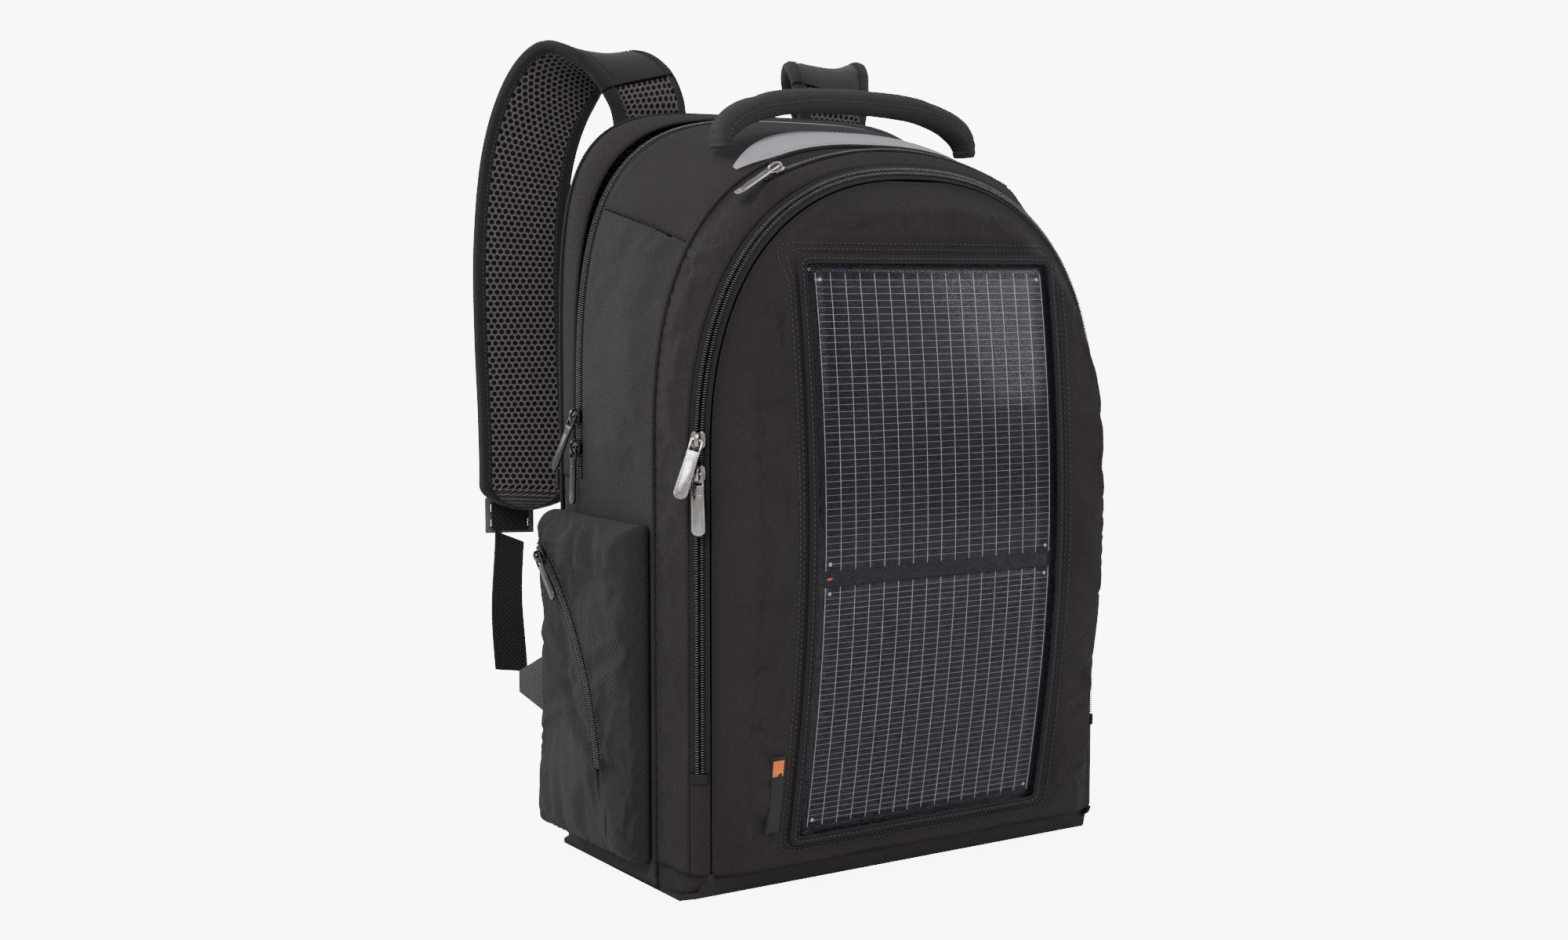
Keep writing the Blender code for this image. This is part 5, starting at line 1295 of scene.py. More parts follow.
def make_window():
    """Two modules behind clear film, held by a piped binding with two rows of stitches."""
    for word, foot_z, head_z in MODULE_SPANS:
        levels = spread(foot_z, head_z, 30)
        face_strip(
            f"module_{word}", spread(-MODULE_HALF, MODULE_HALF, 12), levels, 0.0012, 0.0010, "solar_cell",
            replaces=[f"solar_module_{word}"],
        )
        pitch_z = (head_z - foot_z) / MODULE_ROWS
        uprights = []
        for column in range(MODULE_COLUMNS + 1):
            x = -MODULE_HALF + 0.0008 + column * (2.0 * MODULE_HALF - 0.0016) / MODULE_COLUMNS
            uprights += [(x, foot_z + pitch_z * (row + 0.5)) for row in range(MODULE_ROWS)]
        levels = [(0.0, foot_z + pitch_z * row) for row in range(1, MODULE_ROWS)]
        for label, spots, size in (
            ("uprights", uprights, (0.00042, pitch_z * 1.01, 0.00008)),
            ("levels", levels, (2.0 * MODULE_HALF - 0.0014, 0.00016, 0.00006)),
        ):
            points = []
            ups = []
            alongs = []
            for x, z in spots:
                normal = face_normal(z)
                points.append(Vector((x, face_y(z), z)) + normal * 0.00122)
                ups.append(normal)
                alongs.append(Vector((0.0, -normal.z, normal.y)))
            lines = repeat(f"module_{word}_{label}", points, alongs, ups, size, "silver_line", "box")
            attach(lines, "front_cover")
        far = MODULE_HALF - DOT_INSET
        spots = [(x, z) for x in (-far, far) for z in (foot_z + DOT_INSET, head_z - DOT_INSET)]
        points = [Vector((x, face_y(z), z)) + face_normal(z) * 0.0013 for x, z in spots]
        ups = [face_normal(z) for _, z in spots]
        dots = repeat(
            f"module_{word}_dots", points, [Vector((0.0, -n.z, n.y)) for n in ups], ups,
            (0.0026, 0.0026, 0.0003), "white_mark",
        )
        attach(dots, "front_cover")
    up = face_normal(WINDOW_MARK_Z)
    mark = Vector((-MODULE_HALF + DOT_INSET, face_y(WINDOW_MARK_Z), WINDOW_MARK_Z)) + up * 0.0010
    accent = repeat("window_mark", [mark], [UPWARD], [up], (0.0045, 0.0020, 0.0003), "accent_mark")
    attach(accent, "front_cover")
    inner_half = WINDOW_HALF - WINDOW_BINDING
    inner_foot = WINDOW_FOOT_Z + WINDOW_BINDING
    inner_head = WINDOW_HEAD_Z - WINDOW_BINDING
    xs = spread(-inner_half, inner_half, 16)
    levels = spread(inner_foot, inner_head, 60)
    face_strip("window_backing", xs, levels, 0.00015, 0.0004, "solar_cell")
    face_strip(
        "window_film_sheet", xs, levels, 0.0021, 0.0005, "clear_film",
        replaces=["window_film"],
    )
    middle = WINDOW_BINDING / 2.0
    points, normals = window_loop(
        WINDOW_HALF - middle, WINDOW_FOOT_Z + middle, WINDOW_HEAD_Z - middle, 0.0011, 0.004
    )
    flat = band("binding_flat", points, normals, WINDOW_BINDING, 0.0018, 0.0004)
    points, normals = window_loop(inner_half, inner_foot, inner_head, 0.0021, 0.003)
    inner = cord_tube("binding_inner", points, 0.0009, 8, 0.8, normals)
    points, normals = window_loop(WINDOW_HALF, WINDOW_FOOT_Z, WINDOW_HEAD_Z, 0.0012, 0.005)
    outer = cord_tube("binding_outer", points, 0.0011, 8, 0.9, normals)
    frame_piece = join("window_piping", [flat, inner, outer])
    dress(frame_piece, "binding", "front_cover", ["window_binding"])
    rows = []
    for distance in (0.0036, 0.0072):
        rows.append(window_loop(
            WINDOW_HALF + distance, WINDOW_FOOT_Z - distance * 0.6, WINDOW_HEAD_Z + distance, 0.0020, 0.008
        ))
    rows = [
        ([Vector((p.x, cover_surface(p.x, p.z) - 0.0002, p.z)) for p in points], ups)
        for points, ups in rows
    ]
    rows.append(window_loop(
        WINDOW_HALF - middle, WINDOW_FOOT_Z + middle, WINDOW_HEAD_Z - middle, 0.0025, 0.004
    ))
    stitches("window_stitches", rows, "front_cover")


def make_label():
    """A small woven tab beside the window, black with one plain accent bar."""
    levels = spread(0.044, 0.092, 20)
    xs = spread(-0.1195, -0.1105, 6)
    grid = [[(x, cover_surface(x, z) - 0.0014, z) for x in xs] for z in levels]
    tab = loft("label_cloth", grid, FORWARD)
    thicken(tab, 0.0011)
    dress(tab, "label_fabric", "front_cover", ["label_tab"])
    x, z = LABEL_MARK
    spot = Vector((x, cover_surface(x, z) - 0.0015, z))
    bar = repeat(
        "label_mark", [spot], [UPWARD], [face_normal(z)], (0.0078, 0.0100, 0.0004), "accent_mark", "box"
    )
    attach(bar, "front_cover")
    edges = []
    for x in (-0.1187, -0.1113):
        points = [Vector((x, cover_surface(x, z) - 0.0015, z)) for z in levels]
        edges.append((points, [face_normal(z) for z in levels]))
    stitches(
        "label_stitches", edges, "front_cover", pitch=0.0022, size=(0.0004, 0.0014, 0.0003)
    )


# ---------------------------------------------------------------- zips
def zip_half(name, points, normals, across, body, node, phase):
    """Half a zip: a woven tape, and coil teeth that reach the middle line."""
    depth = CHAIN_HEIGHT - TAPE_HEIGHT * 0.5
    tape_line = []
    for point, normal, side in zip(points, normals, across):
        tape_line.append(point + side * (TAPE_WIDTH + 0.0012) / 2.0 - normal * depth)
    tape = band(f"{name}_tape", tape_line, normals, TAPE_WIDTH - 0.0012, TAPE_HEIGHT * 0.8, 0.0)
    dress(tape, "zip_tape", body, [node])
    pitch = bpy.context.scene.solar_pack_sizes.tooth_pitch
    placed, along, shares = resample(points, pitch / 2.0)
    keep = slice(phase, None, 2)
    up = at_shares(normals, shares)
    sideways = at_shares(across, shares)
    centres = placed + sideways * (CHAIN_WIDTH * 0.24) - up * CHAIN_HEIGHT * 0.5
    teeth = repeat(
        f"{name}_teeth", centres[keep], along[keep], up[keep],
        (CHAIN_WIDTH * 0.54, pitch * 0.62, CHAIN_HEIGHT * 0.96), "zip_coil",
    )
    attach(teeth, body)


def make_zips():
    """The coil zips of the cover, the main compartment, the top slot and the side pockets."""
    start = parameter_at_z(FRONT_ZIP_END_Z)
    parameters = outline_parameters(start, 4.0 - start, 60, 150)
    back = BACKWARD
    points = [outline_point(FRONT_ZIP_Y, u) for u in parameters]
    sides = [outward(FRONT_ZIP_Y, u) for u in parameters]
    normals = [(side - back).normalized() for side in sides]
    ways = [(side + back).normalized() for side in sides]
    inward = [-way for way in ways]
    zip_half("front_zip_outside", points, normals, ways, "pack_body", "front_zip_outer", 0)
    zip_half("front_zip_inside", points, normals, inward, "front_cover", "front_zip_inner", 1)
    start = parameter_at_z(MAIN_ZIP_END_Z)
    parameters = outline_parameters(start, 4.0 - start, 60, 150)
    points = [outline_point(MAIN_ZIP_Y, u) for u in parameters]
    normals = [outward(MAIN_ZIP_Y, u) for u in parameters]
    zip_half("main_zip_ahead", points, normals, [-back] * len(points), "pack_body", "main_zip_front", 0)
    zip_half("main_zip_behind", points, normals, [back] * len(points), "rear_flap", "main_zip_rear", 1)
    angles = spread(-TOP_ZIP_HALF_ANGLE, TOP_ZIP_HALF_ANGLE, 60)
    normals = [Vector((math.sin(a), 0.0, math.cos(a))) for a in angles]
    middle = Vector((0.0, TOP_ZIP_Y, TOP_ZIP_CENTRE_Z))
    points = [middle + normal * (TOP_ZIP_RADIUS + CHAIN_HEIGHT) for normal in normals]
    whole_zip("top_zip", points, normals, "pack_body", "top_pocket_zip")
    for word, side in SIDES:
        points = []
        for share in spread(0.0, 1.0, 60):
            y, z = pocket_arc(share)
            points.append(Vector((side * POCKET_CHAIN_X, y, z)))
        normals = [Vector((side, 0.0, 0.0))] * len(points)
        whole_zip(f"pocket_zip_{word}_line", points, normals, f"pocket_flap_{word}", f"pocket_zip_{word}")


def whole_zip(name, points, normals, body, node):
    """A short zip that moves as one piece: both rows of teeth on one tape."""
    lower = [point - normal * (CHAIN_HEIGHT - 0.0004) for point, normal in zip(points, normals)]
    tape = band(f"{name}_tape", lower, normals, CHAIN_WIDTH, 0.0007)
    dress(tape, "zip_tape", body, [node])
    pitch = bpy.context.scene.solar_pack_sizes.tooth_pitch
    placed, along, shares = resample(points, pitch / 2.0)
    up = at_shares(normals, shares)
    sideways = np.cross(along, up)
    sign = np.where(np.arange(len(placed)) % 2 == 0, 1.0, -1.0)[:, None]
    centres = placed + sideways * sign * CHAIN_WIDTH * 0.24 - up * CHAIN_HEIGHT * 0.5
    size = (CHAIN_WIDTH * 0.52, pitch * 0.62, CHAIN_HEIGHT * 0.9)
    teeth = repeat(f"{name}_teeth", centres, along, up, size, "zip_coil")
    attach(teeth, body)


# ---------------------------------------------------------------- sliders
def prism(bm, loop, low, high, place):
    """An upright plate over a flat outline, moved by a matrix."""
    bottom = [bm.verts.new(place @ Vector((x, y, low))) for x, y in loop]
    top = [bm.verts.new(place @ Vector((x, y, high))) for x, y in loop]
    bm.faces.new(bottom[::-1])
    bm.faces.new(top)
    for step in range(len(loop)):
        after = (step + 1) % len(loop)
        bm.faces.new((bottom[step], bottom[after], top[after], top[step]))


def slab(bm, low, high, place):
    loop = [(low[0], low[1]), (high[0], low[1]), (high[0], high[1]), (low[0], high[1])]
    prism(bm, loop, low[2], high[2], place)


def finish_hard(name, bm, rounding, segments=3):
    bmesh.ops.recalc_face_normals(bm, faces=bm.faces)
    mesh = bpy.data.meshes.new(name)
    bm.to_mesh(mesh)
    bm.free()
    return round_edges(link_mesh(name, mesh), rounding, segments, 35.0, 45.0)


def slider_piece(word, place, finish):
    """Two-nosed top plate, side flange and the bridge that carries the pull."""
    bm = bmesh.new()
    nose = [
        (-0.0024, -0.0055), (0.0024, -0.0055), (0.0044, -0.0032), (0.0047, 0.0010), (0.0042, 0.0040),
        (0.0026, 0.0053), (0.0009, 0.0046), (-0.0009, 0.0046), (-0.0026, 0.0053), (-0.0042, 0.0040),
        (-0.0047, 0.0010), (-0.0044, -0.0032),
    ]
    prism(bm, nose, 0.0003, 0.0015, place)
    for side in (-1, 1):
        edge = side * 0.0043
        slab(bm, (min(edge, edge - side * 0.0006), -0.0028, -0.0006),
             (max(edge, edge - side * 0.0006), 0.0034, 0.0012), place)
    arch = []
    for step in range(13):
        turn = math.pi * step / 12
        arch.append((-0.0049 * math.cos(turn), 0.0013 + 0.0046 * math.sin(turn) ** 0.55))
    inner = [(y * 0.70, 0.0013 + (z - 0.0013) * 0.70) for y, z in arch]
    half = 0.0013
    rings = []
    for x in (-half, half):
        rings.append([bm.verts.new(place @ Vector((x, y, z))) for y, z in arch])
        rings.append([bm.verts.new(place @ Vector((x, y, z))) for y, z in inner])
    a, b, c, d = rings
    for step in range(12):
        bm.faces.new((a[step], a[step + 1], b[step + 1], b[step]))
        bm.faces.new((c[step], d[step], d[step + 1], c[step + 1]))
        bm.faces.new((a[step], c[step], c[step + 1], a[step + 1]))
        bm.faces.new((b[step], b[step + 1], d[step + 1], d[step]))
    for step in (0, 12):
        bm.faces.new((a[step], b[step], d[step], c[step]))
    piece = finish_hard(f"{word}_slider_body", bm, 0.00032)
    return dress(piece, finish, f"{word}_slider", [f"{word}_slider"])


def pull_piece(word, place, finish):
    """Two arms and a cross pin on the bridge, and the long tongue with its raised panel."""
    narrow = 0.82 if finish == "gunmetal" else 1.0
    bm = bmesh.new()
    slab(bm, (-0.0040, -0.0007, -0.0007), (0.0040, 0.0007, 0.0007), place)
    for side in (-1, 1):
        slab(bm, (min(side * 0.0028, side * 0.0041), -0.0078, -0.0007),
             (max(side * 0.0028, side * 0.0041), 0.0002, 0.0007), place)
    wide = 0.0043 * narrow
    outline = [(-0.0041, -0.0068), (-wide * 0.92, -0.0100), (-wide, -0.0330)]
    for step in range(5):
        turn = math.radians(180.0 + 18.0 * (step + 1))
        outline.append((wide * math.cos(turn), -0.0330 + 0.0038 * math.sin(turn)))
    outline += [(-x, y) for x, y in reversed(outline)]
    cleaned = []
    for x, y in outline:
        if not cleaned or math.dist(cleaned[-1], (x, y)) > 0.0002:
            cleaned.append((x, y))
    prism(bm, cleaned, -0.00075, 0.00075, place)
    inset = [
        (share * wide * 0.62, y) for share, y in (
            (-1.0, -0.0125), (-1.0, -0.0315), (-0.5, -0.0338), (0.5, -0.0338), (1.0, -0.0315), (1.0, -0.0125)
        )
    ]
    prism(bm, inset, 0.0006, 0.00105, place)
    piece = finish_hard(f"{word}_pull_tongue", bm, 0.00034)
    return dress(piece, finish, f"{word}_pull", [f"{word}_pull"])


def axes_matrix(origin, across, along, normal):
    made = Matrix((across, along, normal)).transposed().to_4x4()
    made.translation = origin
    return made


def make_sliders():
    for word, along, normal, tilt, lift, finish in SLIDERS:
        along = Vector(along).normalized()
        normal = Vector(normal).normalized()
        across = along.cross(normal)
        hinge = Vector(JOINTS[f"{word}_pull_hinge"]["pos_m"])
        origin = hinge - normal * PULL_AXIS_HEIGHT
        slider_piece(word, axes_matrix(origin, across, along, normal), finish)
        turned = Matrix.Rotation(math.radians(tilt), 4, "Z") @ Matrix.Rotation(math.radians(-lift), 4, "X")
        pull_piece(word, axes_matrix(hinge, across, along, normal) @ turned, finish)


# ---------------------------------------------------------------- side pockets
def pocket_arc(share, shift=0.0):
    angle = math.radians(172.5 + (126.0 - 172.5) * share)
    radius = 0.194 + shift
    return 0.163 + radius * math.cos(angle), 0.051 + radius * math.sin(angle)


def polyline_point(corners, share):
    lengths = [math.dist(a, b) for a, b in zip(corners, corners[1:])]
    left = share * sum(lengths)
    for (a, b), length in zip(zip(corners, corners[1:]), lengths):
        if left <= length:
            part = left / length
            return a[0] + (b[0] - a[0]) * part, a[1] + (b[1] - a[1]) * part
        left -= length
    return corners[-1]


def pocket_out(y, z, ragged):
    """How far the pocket stands off the side panel, with its gathers and slack."""
    edges = (y - POCKET_FRONT_Y, POCKET_REAR_Y - y, z - POCKET_FOOT_Z, POCKET_HEAD_Z - z)
    soft = sum(math.exp(-max(edge, 0.0) / 0.004) for edge in edges)
    edge = max(min(edges), 0.0)
    rim = 0.0005 if soft > 3.9 else 0.0
    share = min(edge / (POCKET_RIM * 1.15), 1.0)
    rise = math.sqrt(max(1.0 - (1.0 - share) ** 2, 0.0)) - rim
    point = Vector((0.0, y, z))
    fold = folds(point, 20.0, (1.0, 0.55, 1.5)) * 0.0030
    low_crease = 0.0030 * bell(z, 0.088 + 0.7 * (y + 0.02), 0.011)
    crease = low_crease + 0.0024 * bell(z, 0.142 - 0.5 * (y + 0.03), 0.012)
    slack = (fold - crease * 0.8 - 0.0006) * smoothstep(share) * ragged
    return POCKET_FABRIC + GAP + (POCKET_DEPTH - POCKET_FABRIC) * rise + slack


def pocket_piece(name, side, near_edge, far_edge, body, node):
    half = SECTIONS[1][1]
    rows = spread(0.0, 1.0, 90)
    parts = [1.0 - (1.0 - step / 34.0) ** 1.5 for step in range(35)]
    grid = []
    for share in rows:
        ya, za = near_edge(share)
        yb, zb = far_edge(share)
        row = []
        for part in parts:
            y = ya + (yb - ya) * part
            z = za + (zb - za) * part
            ragged = smoothstep(part / 0.12)
            row.append((side * (half + pocket_out(y, z, ragged)), y, z))
        grid.append(row)
    piece = loft(name, grid, Vector((side, 0.0, 0.0)))
    loose = []
    columns = len(parts)
    for index in range(len(piece.data.vertices)):
        part = parts[index % columns]
        row = index // columns
        border = min(row, len(rows) - 1 - row) / 5.0
        loose.append(smoothstep(part / 0.16) * smoothstep((1.0 - part) / 0.12) * smoothstep(border))
    settle(piece, loose, pressure=0.5, growth=0.03, cap=0.003)
    thicken(piece, POCKET_FABRIC * 0.8)
    dress(piece, "side_fabric", body, [node])


def make_pockets():
    """Bellows pockets on both sides, each parted by its curved zip."""
    clear = CHAIN_WIDTH / 2.0 + GAP
    foot_y = pocket_arc(0.0)[0]
    zip_end_z = pocket_arc(1.0)[1]
    rear_corners = [
        (foot_y, POCKET_FOOT_Z), (POCKET_REAR_Y, POCKET_FOOT_Z), (POCKET_REAR_Y, zip_end_z + 0.006),
    ]
    front_corners = [
        (foot_y - GAP, POCKET_FOOT_Z), (POCKET_FRONT_Y, POCKET_FOOT_Z), (POCKET_FRONT_Y, POCKET_HEAD_Z),
        (POCKET_REAR_Y, POCKET_HEAD_Z), (POCKET_REAR_Y, zip_end_z + 0.0066),
    ]
    for word, side in SIDES:
        pocket_piece(
            f"pocket_rear_cloth_{word}", side, lambda share: pocket_arc(share, -clear),
            lambda share: polyline_point(rear_corners, share), f"pocket_flap_{word}", f"pocket_flap_{word}",
        )
        pocket_piece(
            f"pocket_front_cloth_{word}", side, lambda share: pocket_arc(share, clear),
            lambda share: polyline_point(front_corners, share), "pack_body", f"pocket_front_{word}",
        )
        top_y, top_z = pocket_arc(0.0)
        points = []
        for share in spread(0.0, 1.0, 16):
            y = top_y + (foot_y - GAP * 0.5 - top_y) * share
            z = top_z + 0.001 + (POCKET_FOOT_Z + 0.001 - top_z) * share
            points.append(Vector((side * (SECTIONS[1][1] + pocket_out(y, z, 0.0) - 0.0026), y, z)))
        seam = band(f"pocket_seam_{word}", points, [Vector((side, 0.0, 0.0))] * 16, 0.0090, 0.0008)
        dress(seam, "side_fabric", "pack_body")
        for shift, body, label in ((-clear, f"pocket_flap_{word}", "rear"), (clear, "pack_body", "front")):
            points = []
            for share in spread(0.04, 0.96, 50):
                y, z = pocket_arc(share, shift + math.copysign(0.0022, shift))
                points.append(Vector((side * (SECTIONS[1][1] + pocket_out(y, z, 0.0) + 0.0003), y, z)))
            ups = [Vector((side, 0.0, 0.0))] * len(points)
            stitches(f"pocket_{label}_stitches_{word}", [(points, ups)], body)


# ---------------------------------------------------------------- top panel and handle
def top_panel_edges(x):
    """The panel's fullness at x, from nought to one, with its front and rear edge."""
    bow = 1.0 - (x / TOP_PANEL_HALF) ** 2
    return bow, max(-0.050 - 0.0185 * bow, SEAM_Y + 2.0 * GAP), -0.046 + 0.0330 * bow


def make_top_panel():
    """The pale lens-shaped panel under the handle, with two stitched seams."""
    grid = []
    for x in spread(-TOP_PANEL_HALF, TOP_PANEL_HALF, 90):
        bow, y_front, y_rear = top_panel_edges(x)
        row = []
        for share in spread(0.0, 1.0, 26):
            y = y_front + (y_rear - y_front) * share
            belly = math.sin(math.pi * share) * bow
            crumple = 0.0002 * folds((x, y, 0.0), 60.0)
            row.append((x, y, top_height(x, y) + 0.0018 + 0.0026 * belly + crumple))
        grid.append(row)
    piece = loft("top_panel_cloth", grid, UPWARD)
    thicken(piece, 0.0011)
    dress(piece, "grey_fabric", "pack_body", ["top_panel"])
    lines = []
    for rear in (False, True):
        for away in (0.0026, 0.0052):
            points = []
            for x in spread(-TOP_PANEL_HALF + 0.010, TOP_PANEL_HALF - 0.010, 60):
                _, y_front, y_rear = top_panel_edges(x)
                y = y_rear - away if rear else y_front + away
                points.append(Vector((x, y, top_height(x, y) + 0.0022)))
            lines.append((points, [UPWARD] * len(points)))
    stitches("top_panel_stitches", lines, "pack_body", "grey_thread")
    line, ups = lines[-1]
    line = [Vector((p.x, p.y + 0.0058, p.z - 0.0006)) for p in line]
    roll = cord_tube("top_panel_roll", line, 0.0014, 8, 0.8, ups)
    dress(roll, "bag_fabric", "pack_body")


def make_handle():
    """A padded grip over the pale panel: crowned above, folded in at its sewn feet."""
    stations = spread(0.0, math.pi, 73)
    curve = []
    for angle in stations:
        c = math.cos(angle)
        s = math.sin(angle)
        radius = (abs(c) ** HANDLE_POWER + abs(s) ** HANDLE_POWER) ** (-1.0 / HANDLE_POWER)
        z = HANDLE_FOOT_Z + (HANDLE_TOP_Z - HANDLE_FOOT_Z) * s * radius
        curve.append(Vector((-HANDLE_HALF_SPAN * c * radius, HANDLE_Y, z)))
    last = len(curve) - 1
    grid = []
    for index, point in enumerate(curve):
        along = direction(curve, index).normalized()
        across = BACKWARD
        normal = along.cross(across)
        if normal.z < 0.0:
            normal = -normal
        end = smoothstep(min(index, last - index) / 13.0)
        row = []
        for step in range(28):
            turn = math.tau * step / 28.0
            c, s = math.cos(turn), math.sin(turn)
            radius = (abs(c) ** 2.6 + abs(s) ** 2.6) ** (-1.0 / 2.6)
            wide = 0.0110 * (0.92 + 0.04 * end)
            tall = 0.0081 * (0.52 + 0.48 * end)
            spot = point + across * c * radius * wide + normal * s * radius * tall
            seam = 0.0007 * bell(abs(s), 0.0, 0.22)
            crumple = 0.0007 * (1.0 - end) * math.sin(index * 2.1) + 0.0003 * folds(spot, 70.0)
            row.append(spot + (spot - point).normalized() * (crumple - seam))
        grid.append(row)
    piece = tube_from("handle_grip", grid)
    loose = []
    for vert in piece.data.vertices:
        loose.append(smoothstep((HANDLE_HALF_SPAN - 0.006 - abs(vert.co.x)) / 0.02))
    settle(piece, loose, frames=12, pressure=1.5, growth=0.01, cap=0.0006)
    subdivide(piece, 1)
    dress(piece, "handle_fabric", "top_handle", ["top_handle"])
    lines = []
    for side in (-1, 1):
        points = [p + Vector((0.0, side * 0.0106, 0.0)) for p in curve[6:-6]]
        lines.append((points, [Vector((0.0, side, 0.0))] * len(points)))
    stitches("handle_stitches", lines, "top_handle")


# ---------------------------------------------------------------- back
def back_relief(x, z, low_z, high_z):
    """Depth of the sewn channels of the back padding."""
    groove = 0.0042 * bell(abs(x), 0.0, 0.010)
    groove = max(groove, 0.0030 * bell(abs(x), 0.092, 0.006))
    for line in (0.13, 0.19, 0.315, 0.375):
        if low_z + 0.02 < line < high_z - 0.02:
            groove = max(groove, 0.0026 * bell(z, line, 0.006) * smoothstep((abs(x) - 0.008) / 0.01))
    return groove


def pad_shell(name, rows, half_at, near_y, far_y, edge_reach):
    """A closed pad: flat inside, crowned outside."""
    low_z, high_z = rows[0], rows[-1]
    bm = bmesh.new()
    fronts = []
    backs = []
    for z in rows:
        half = half_at(z)
        xs = [half * math.sin(math.pi / 2.0 * share) for share in spread(-1.0, 1.0, 40)]
        front = []
        back = []
        for x in xs:
            edge = min(xs[-1] - abs(x), z - low_z, high_z - z)
            crown = math.sqrt(max(1.0 - (1.0 - min(edge / edge_reach, 1.0)) ** 2, 0.0))
            y = near_y + (far_y - near_y) * (0.35 + 0.65 * crown)
            front.append(bm.verts.new((x, near_y, z)))
            back.append(bm.verts.new((x, y, z)))
        fronts.append(front)
        backs.append(back)
    for grid in (fronts, backs):
        for i in range(len(grid) - 1):
            for j in range(len(grid[0]) - 1):
                bm.faces.new((grid[i][j], grid[i][j + 1], grid[i + 1][j + 1], grid[i + 1][j]))
    count_rows = len(fronts)
    count_columns = len(fronts[0])
    rim = [(i, 0) for i in range(count_rows)] + [(count_rows - 1, j) for j in range(1, count_columns)]
    rim += [(i, count_columns - 1) for i in range(count_rows - 2, -1, -1)]
    rim += [(0, j) for j in range(count_columns - 2, 0, -1)]
    for step, (i, j) in enumerate(rim):
        k, m = rim[(step + 1) % len(rim)]
        bm.faces.new((fronts[i][j], fronts[k][m], backs[k][m], backs[i][j]))
    bmesh.ops.recalc_face_normals(bm, faces=bm.faces)
    mesh = bpy.data.meshes.new(name)
    bm.to_mesh(mesh)
    bm.free()
    return link_mesh(name, mesh)


def back_pad(name, rows, half_at, body, node):
    """A padded back panel: inflated from a slimmer shape, then sewn down in channels."""
    low_z = rows[0]
    high_z = rows[-1]
    piece = pad_shell(name, rows, half_at, BACK_Y + GAP, PAD_REAR_Y - 0.0022, 0.016)
    remesh(piece, 0.0048)
    loose = []
    for vert in piece.data.vertices:
        edge = min(half_at(vert.co.z) - abs(vert.co.x), vert.co.z - low_z, high_z - vert.co.z)
        free = smoothstep((edge - 0.002) / 0.012) if vert.co.y > BACK_Y + 0.004 else 0.0
        loose.append(free)
    settle(piece, loose, frames=20, pressure=4.0, cap=0.0020)
    subdivide(piece, 1)
    for vert in piece.data.vertices:
        if vert.co.y > BACK_Y + 0.006:
            vert.co.y -= back_relief(vert.co.x, vert.co.z, low_z, high_z)
    piece.data.shade_smooth()
    box_uv(piece.data)
    dress(piece, "padded_mesh", body, [node])


def make_back():
    """The padded back: the upper panel opens with the flap, the lower one stays."""
    half, top, power = SECTIONS[3][1:]

    def upper_half(z):
        if z <= SPRING_Z:
            return half
        rise = min((z - SPRING_Z) / (top - SPRING_Z), 1.0)
        return half * (1.0 - rise ** power) ** (1.0 / power)

    rows = arch_rows(MAIN_ZIP_END_Z + GAP, SPRING_Z, top - 0.0012, 5, 46)
    back_pad("back_pad_upper", rows, upper_half, "rear_flap", "back_panel")
    rows = spread(WALL_FOOT_Z, MAIN_ZIP_END_Z - GAP, 50)
    back_pad("back_pad_lower", rows, lambda z: half, "pack_body", "lower_back_panel")
    points = [Vector((x, PAD_REAR_Y - 0.0028, MAIN_ZIP_END_Z - 0.0035)) for x in spread(-half, half, 40)]
    cover = band("back_hinge_binding", points, [BACKWARD] * 40, 0.013, 0.0022, 0.0012)
    dress(cover, "binding", "pack_body")


def make_rear_gusset():
    start = parameter_at_z(MAIN_ZIP_END_Z + GAP)
    near = MAIN_ZIP_Y + TAPE_WIDTH + GAP
    grid = []
    for u in outline_parameters(start, 4.0 - start, 60, 150):
        row = []
        for y in spread(near, BACK_Y + 0.002, 9):
            point = outline_point(min(y, BACK_Y), u)
            point.y = y
            belly = math.sin(math.pi * (y - near) / (BACK_Y + 0.002 - near))
            row.append(point + outward(y, u) * belly * (0.0010 + 0.0006 * folds(point, 18.0)))
        grid.append(row)
    piece = loft("rear_gusset_cloth", grid, from_middle)
    thicken(piece, FABRIC * 0.8)
    dress(piece, "bag_fabric", "rear_flap", ["rear_gusset"])


# ---------------------------------------------------------------- straps
def spline(points, per_span):
    points = [Vector(p) for p in points]
    padded = [points[0] * 2.0 - points[1]] + points + [points[-1] * 2.0 - points[-2]]
    curve = []
    for index in range(1, len(padded) - 2):
        a, b, c, d = padded[index - 1:index + 3]
        for step in range(per_span):
            t = step / per_span
            curve.append(
                0.5 * (2.0 * b + (c - a) * t + (2.0 * a - 5.0 * b + 4.0 * c - d) * t ** 2
                       + (3.0 * b - a - 3.0 * c + d) * t ** 3)
            )
    curve.append(points[-1])
    return curve


def strap_across(side, share):
    turn = STRAP_TURN * smoothstep((share - 0.12) / 0.35)
    return Vector((math.cos(turn), side * math.sin(turn), 0.0))


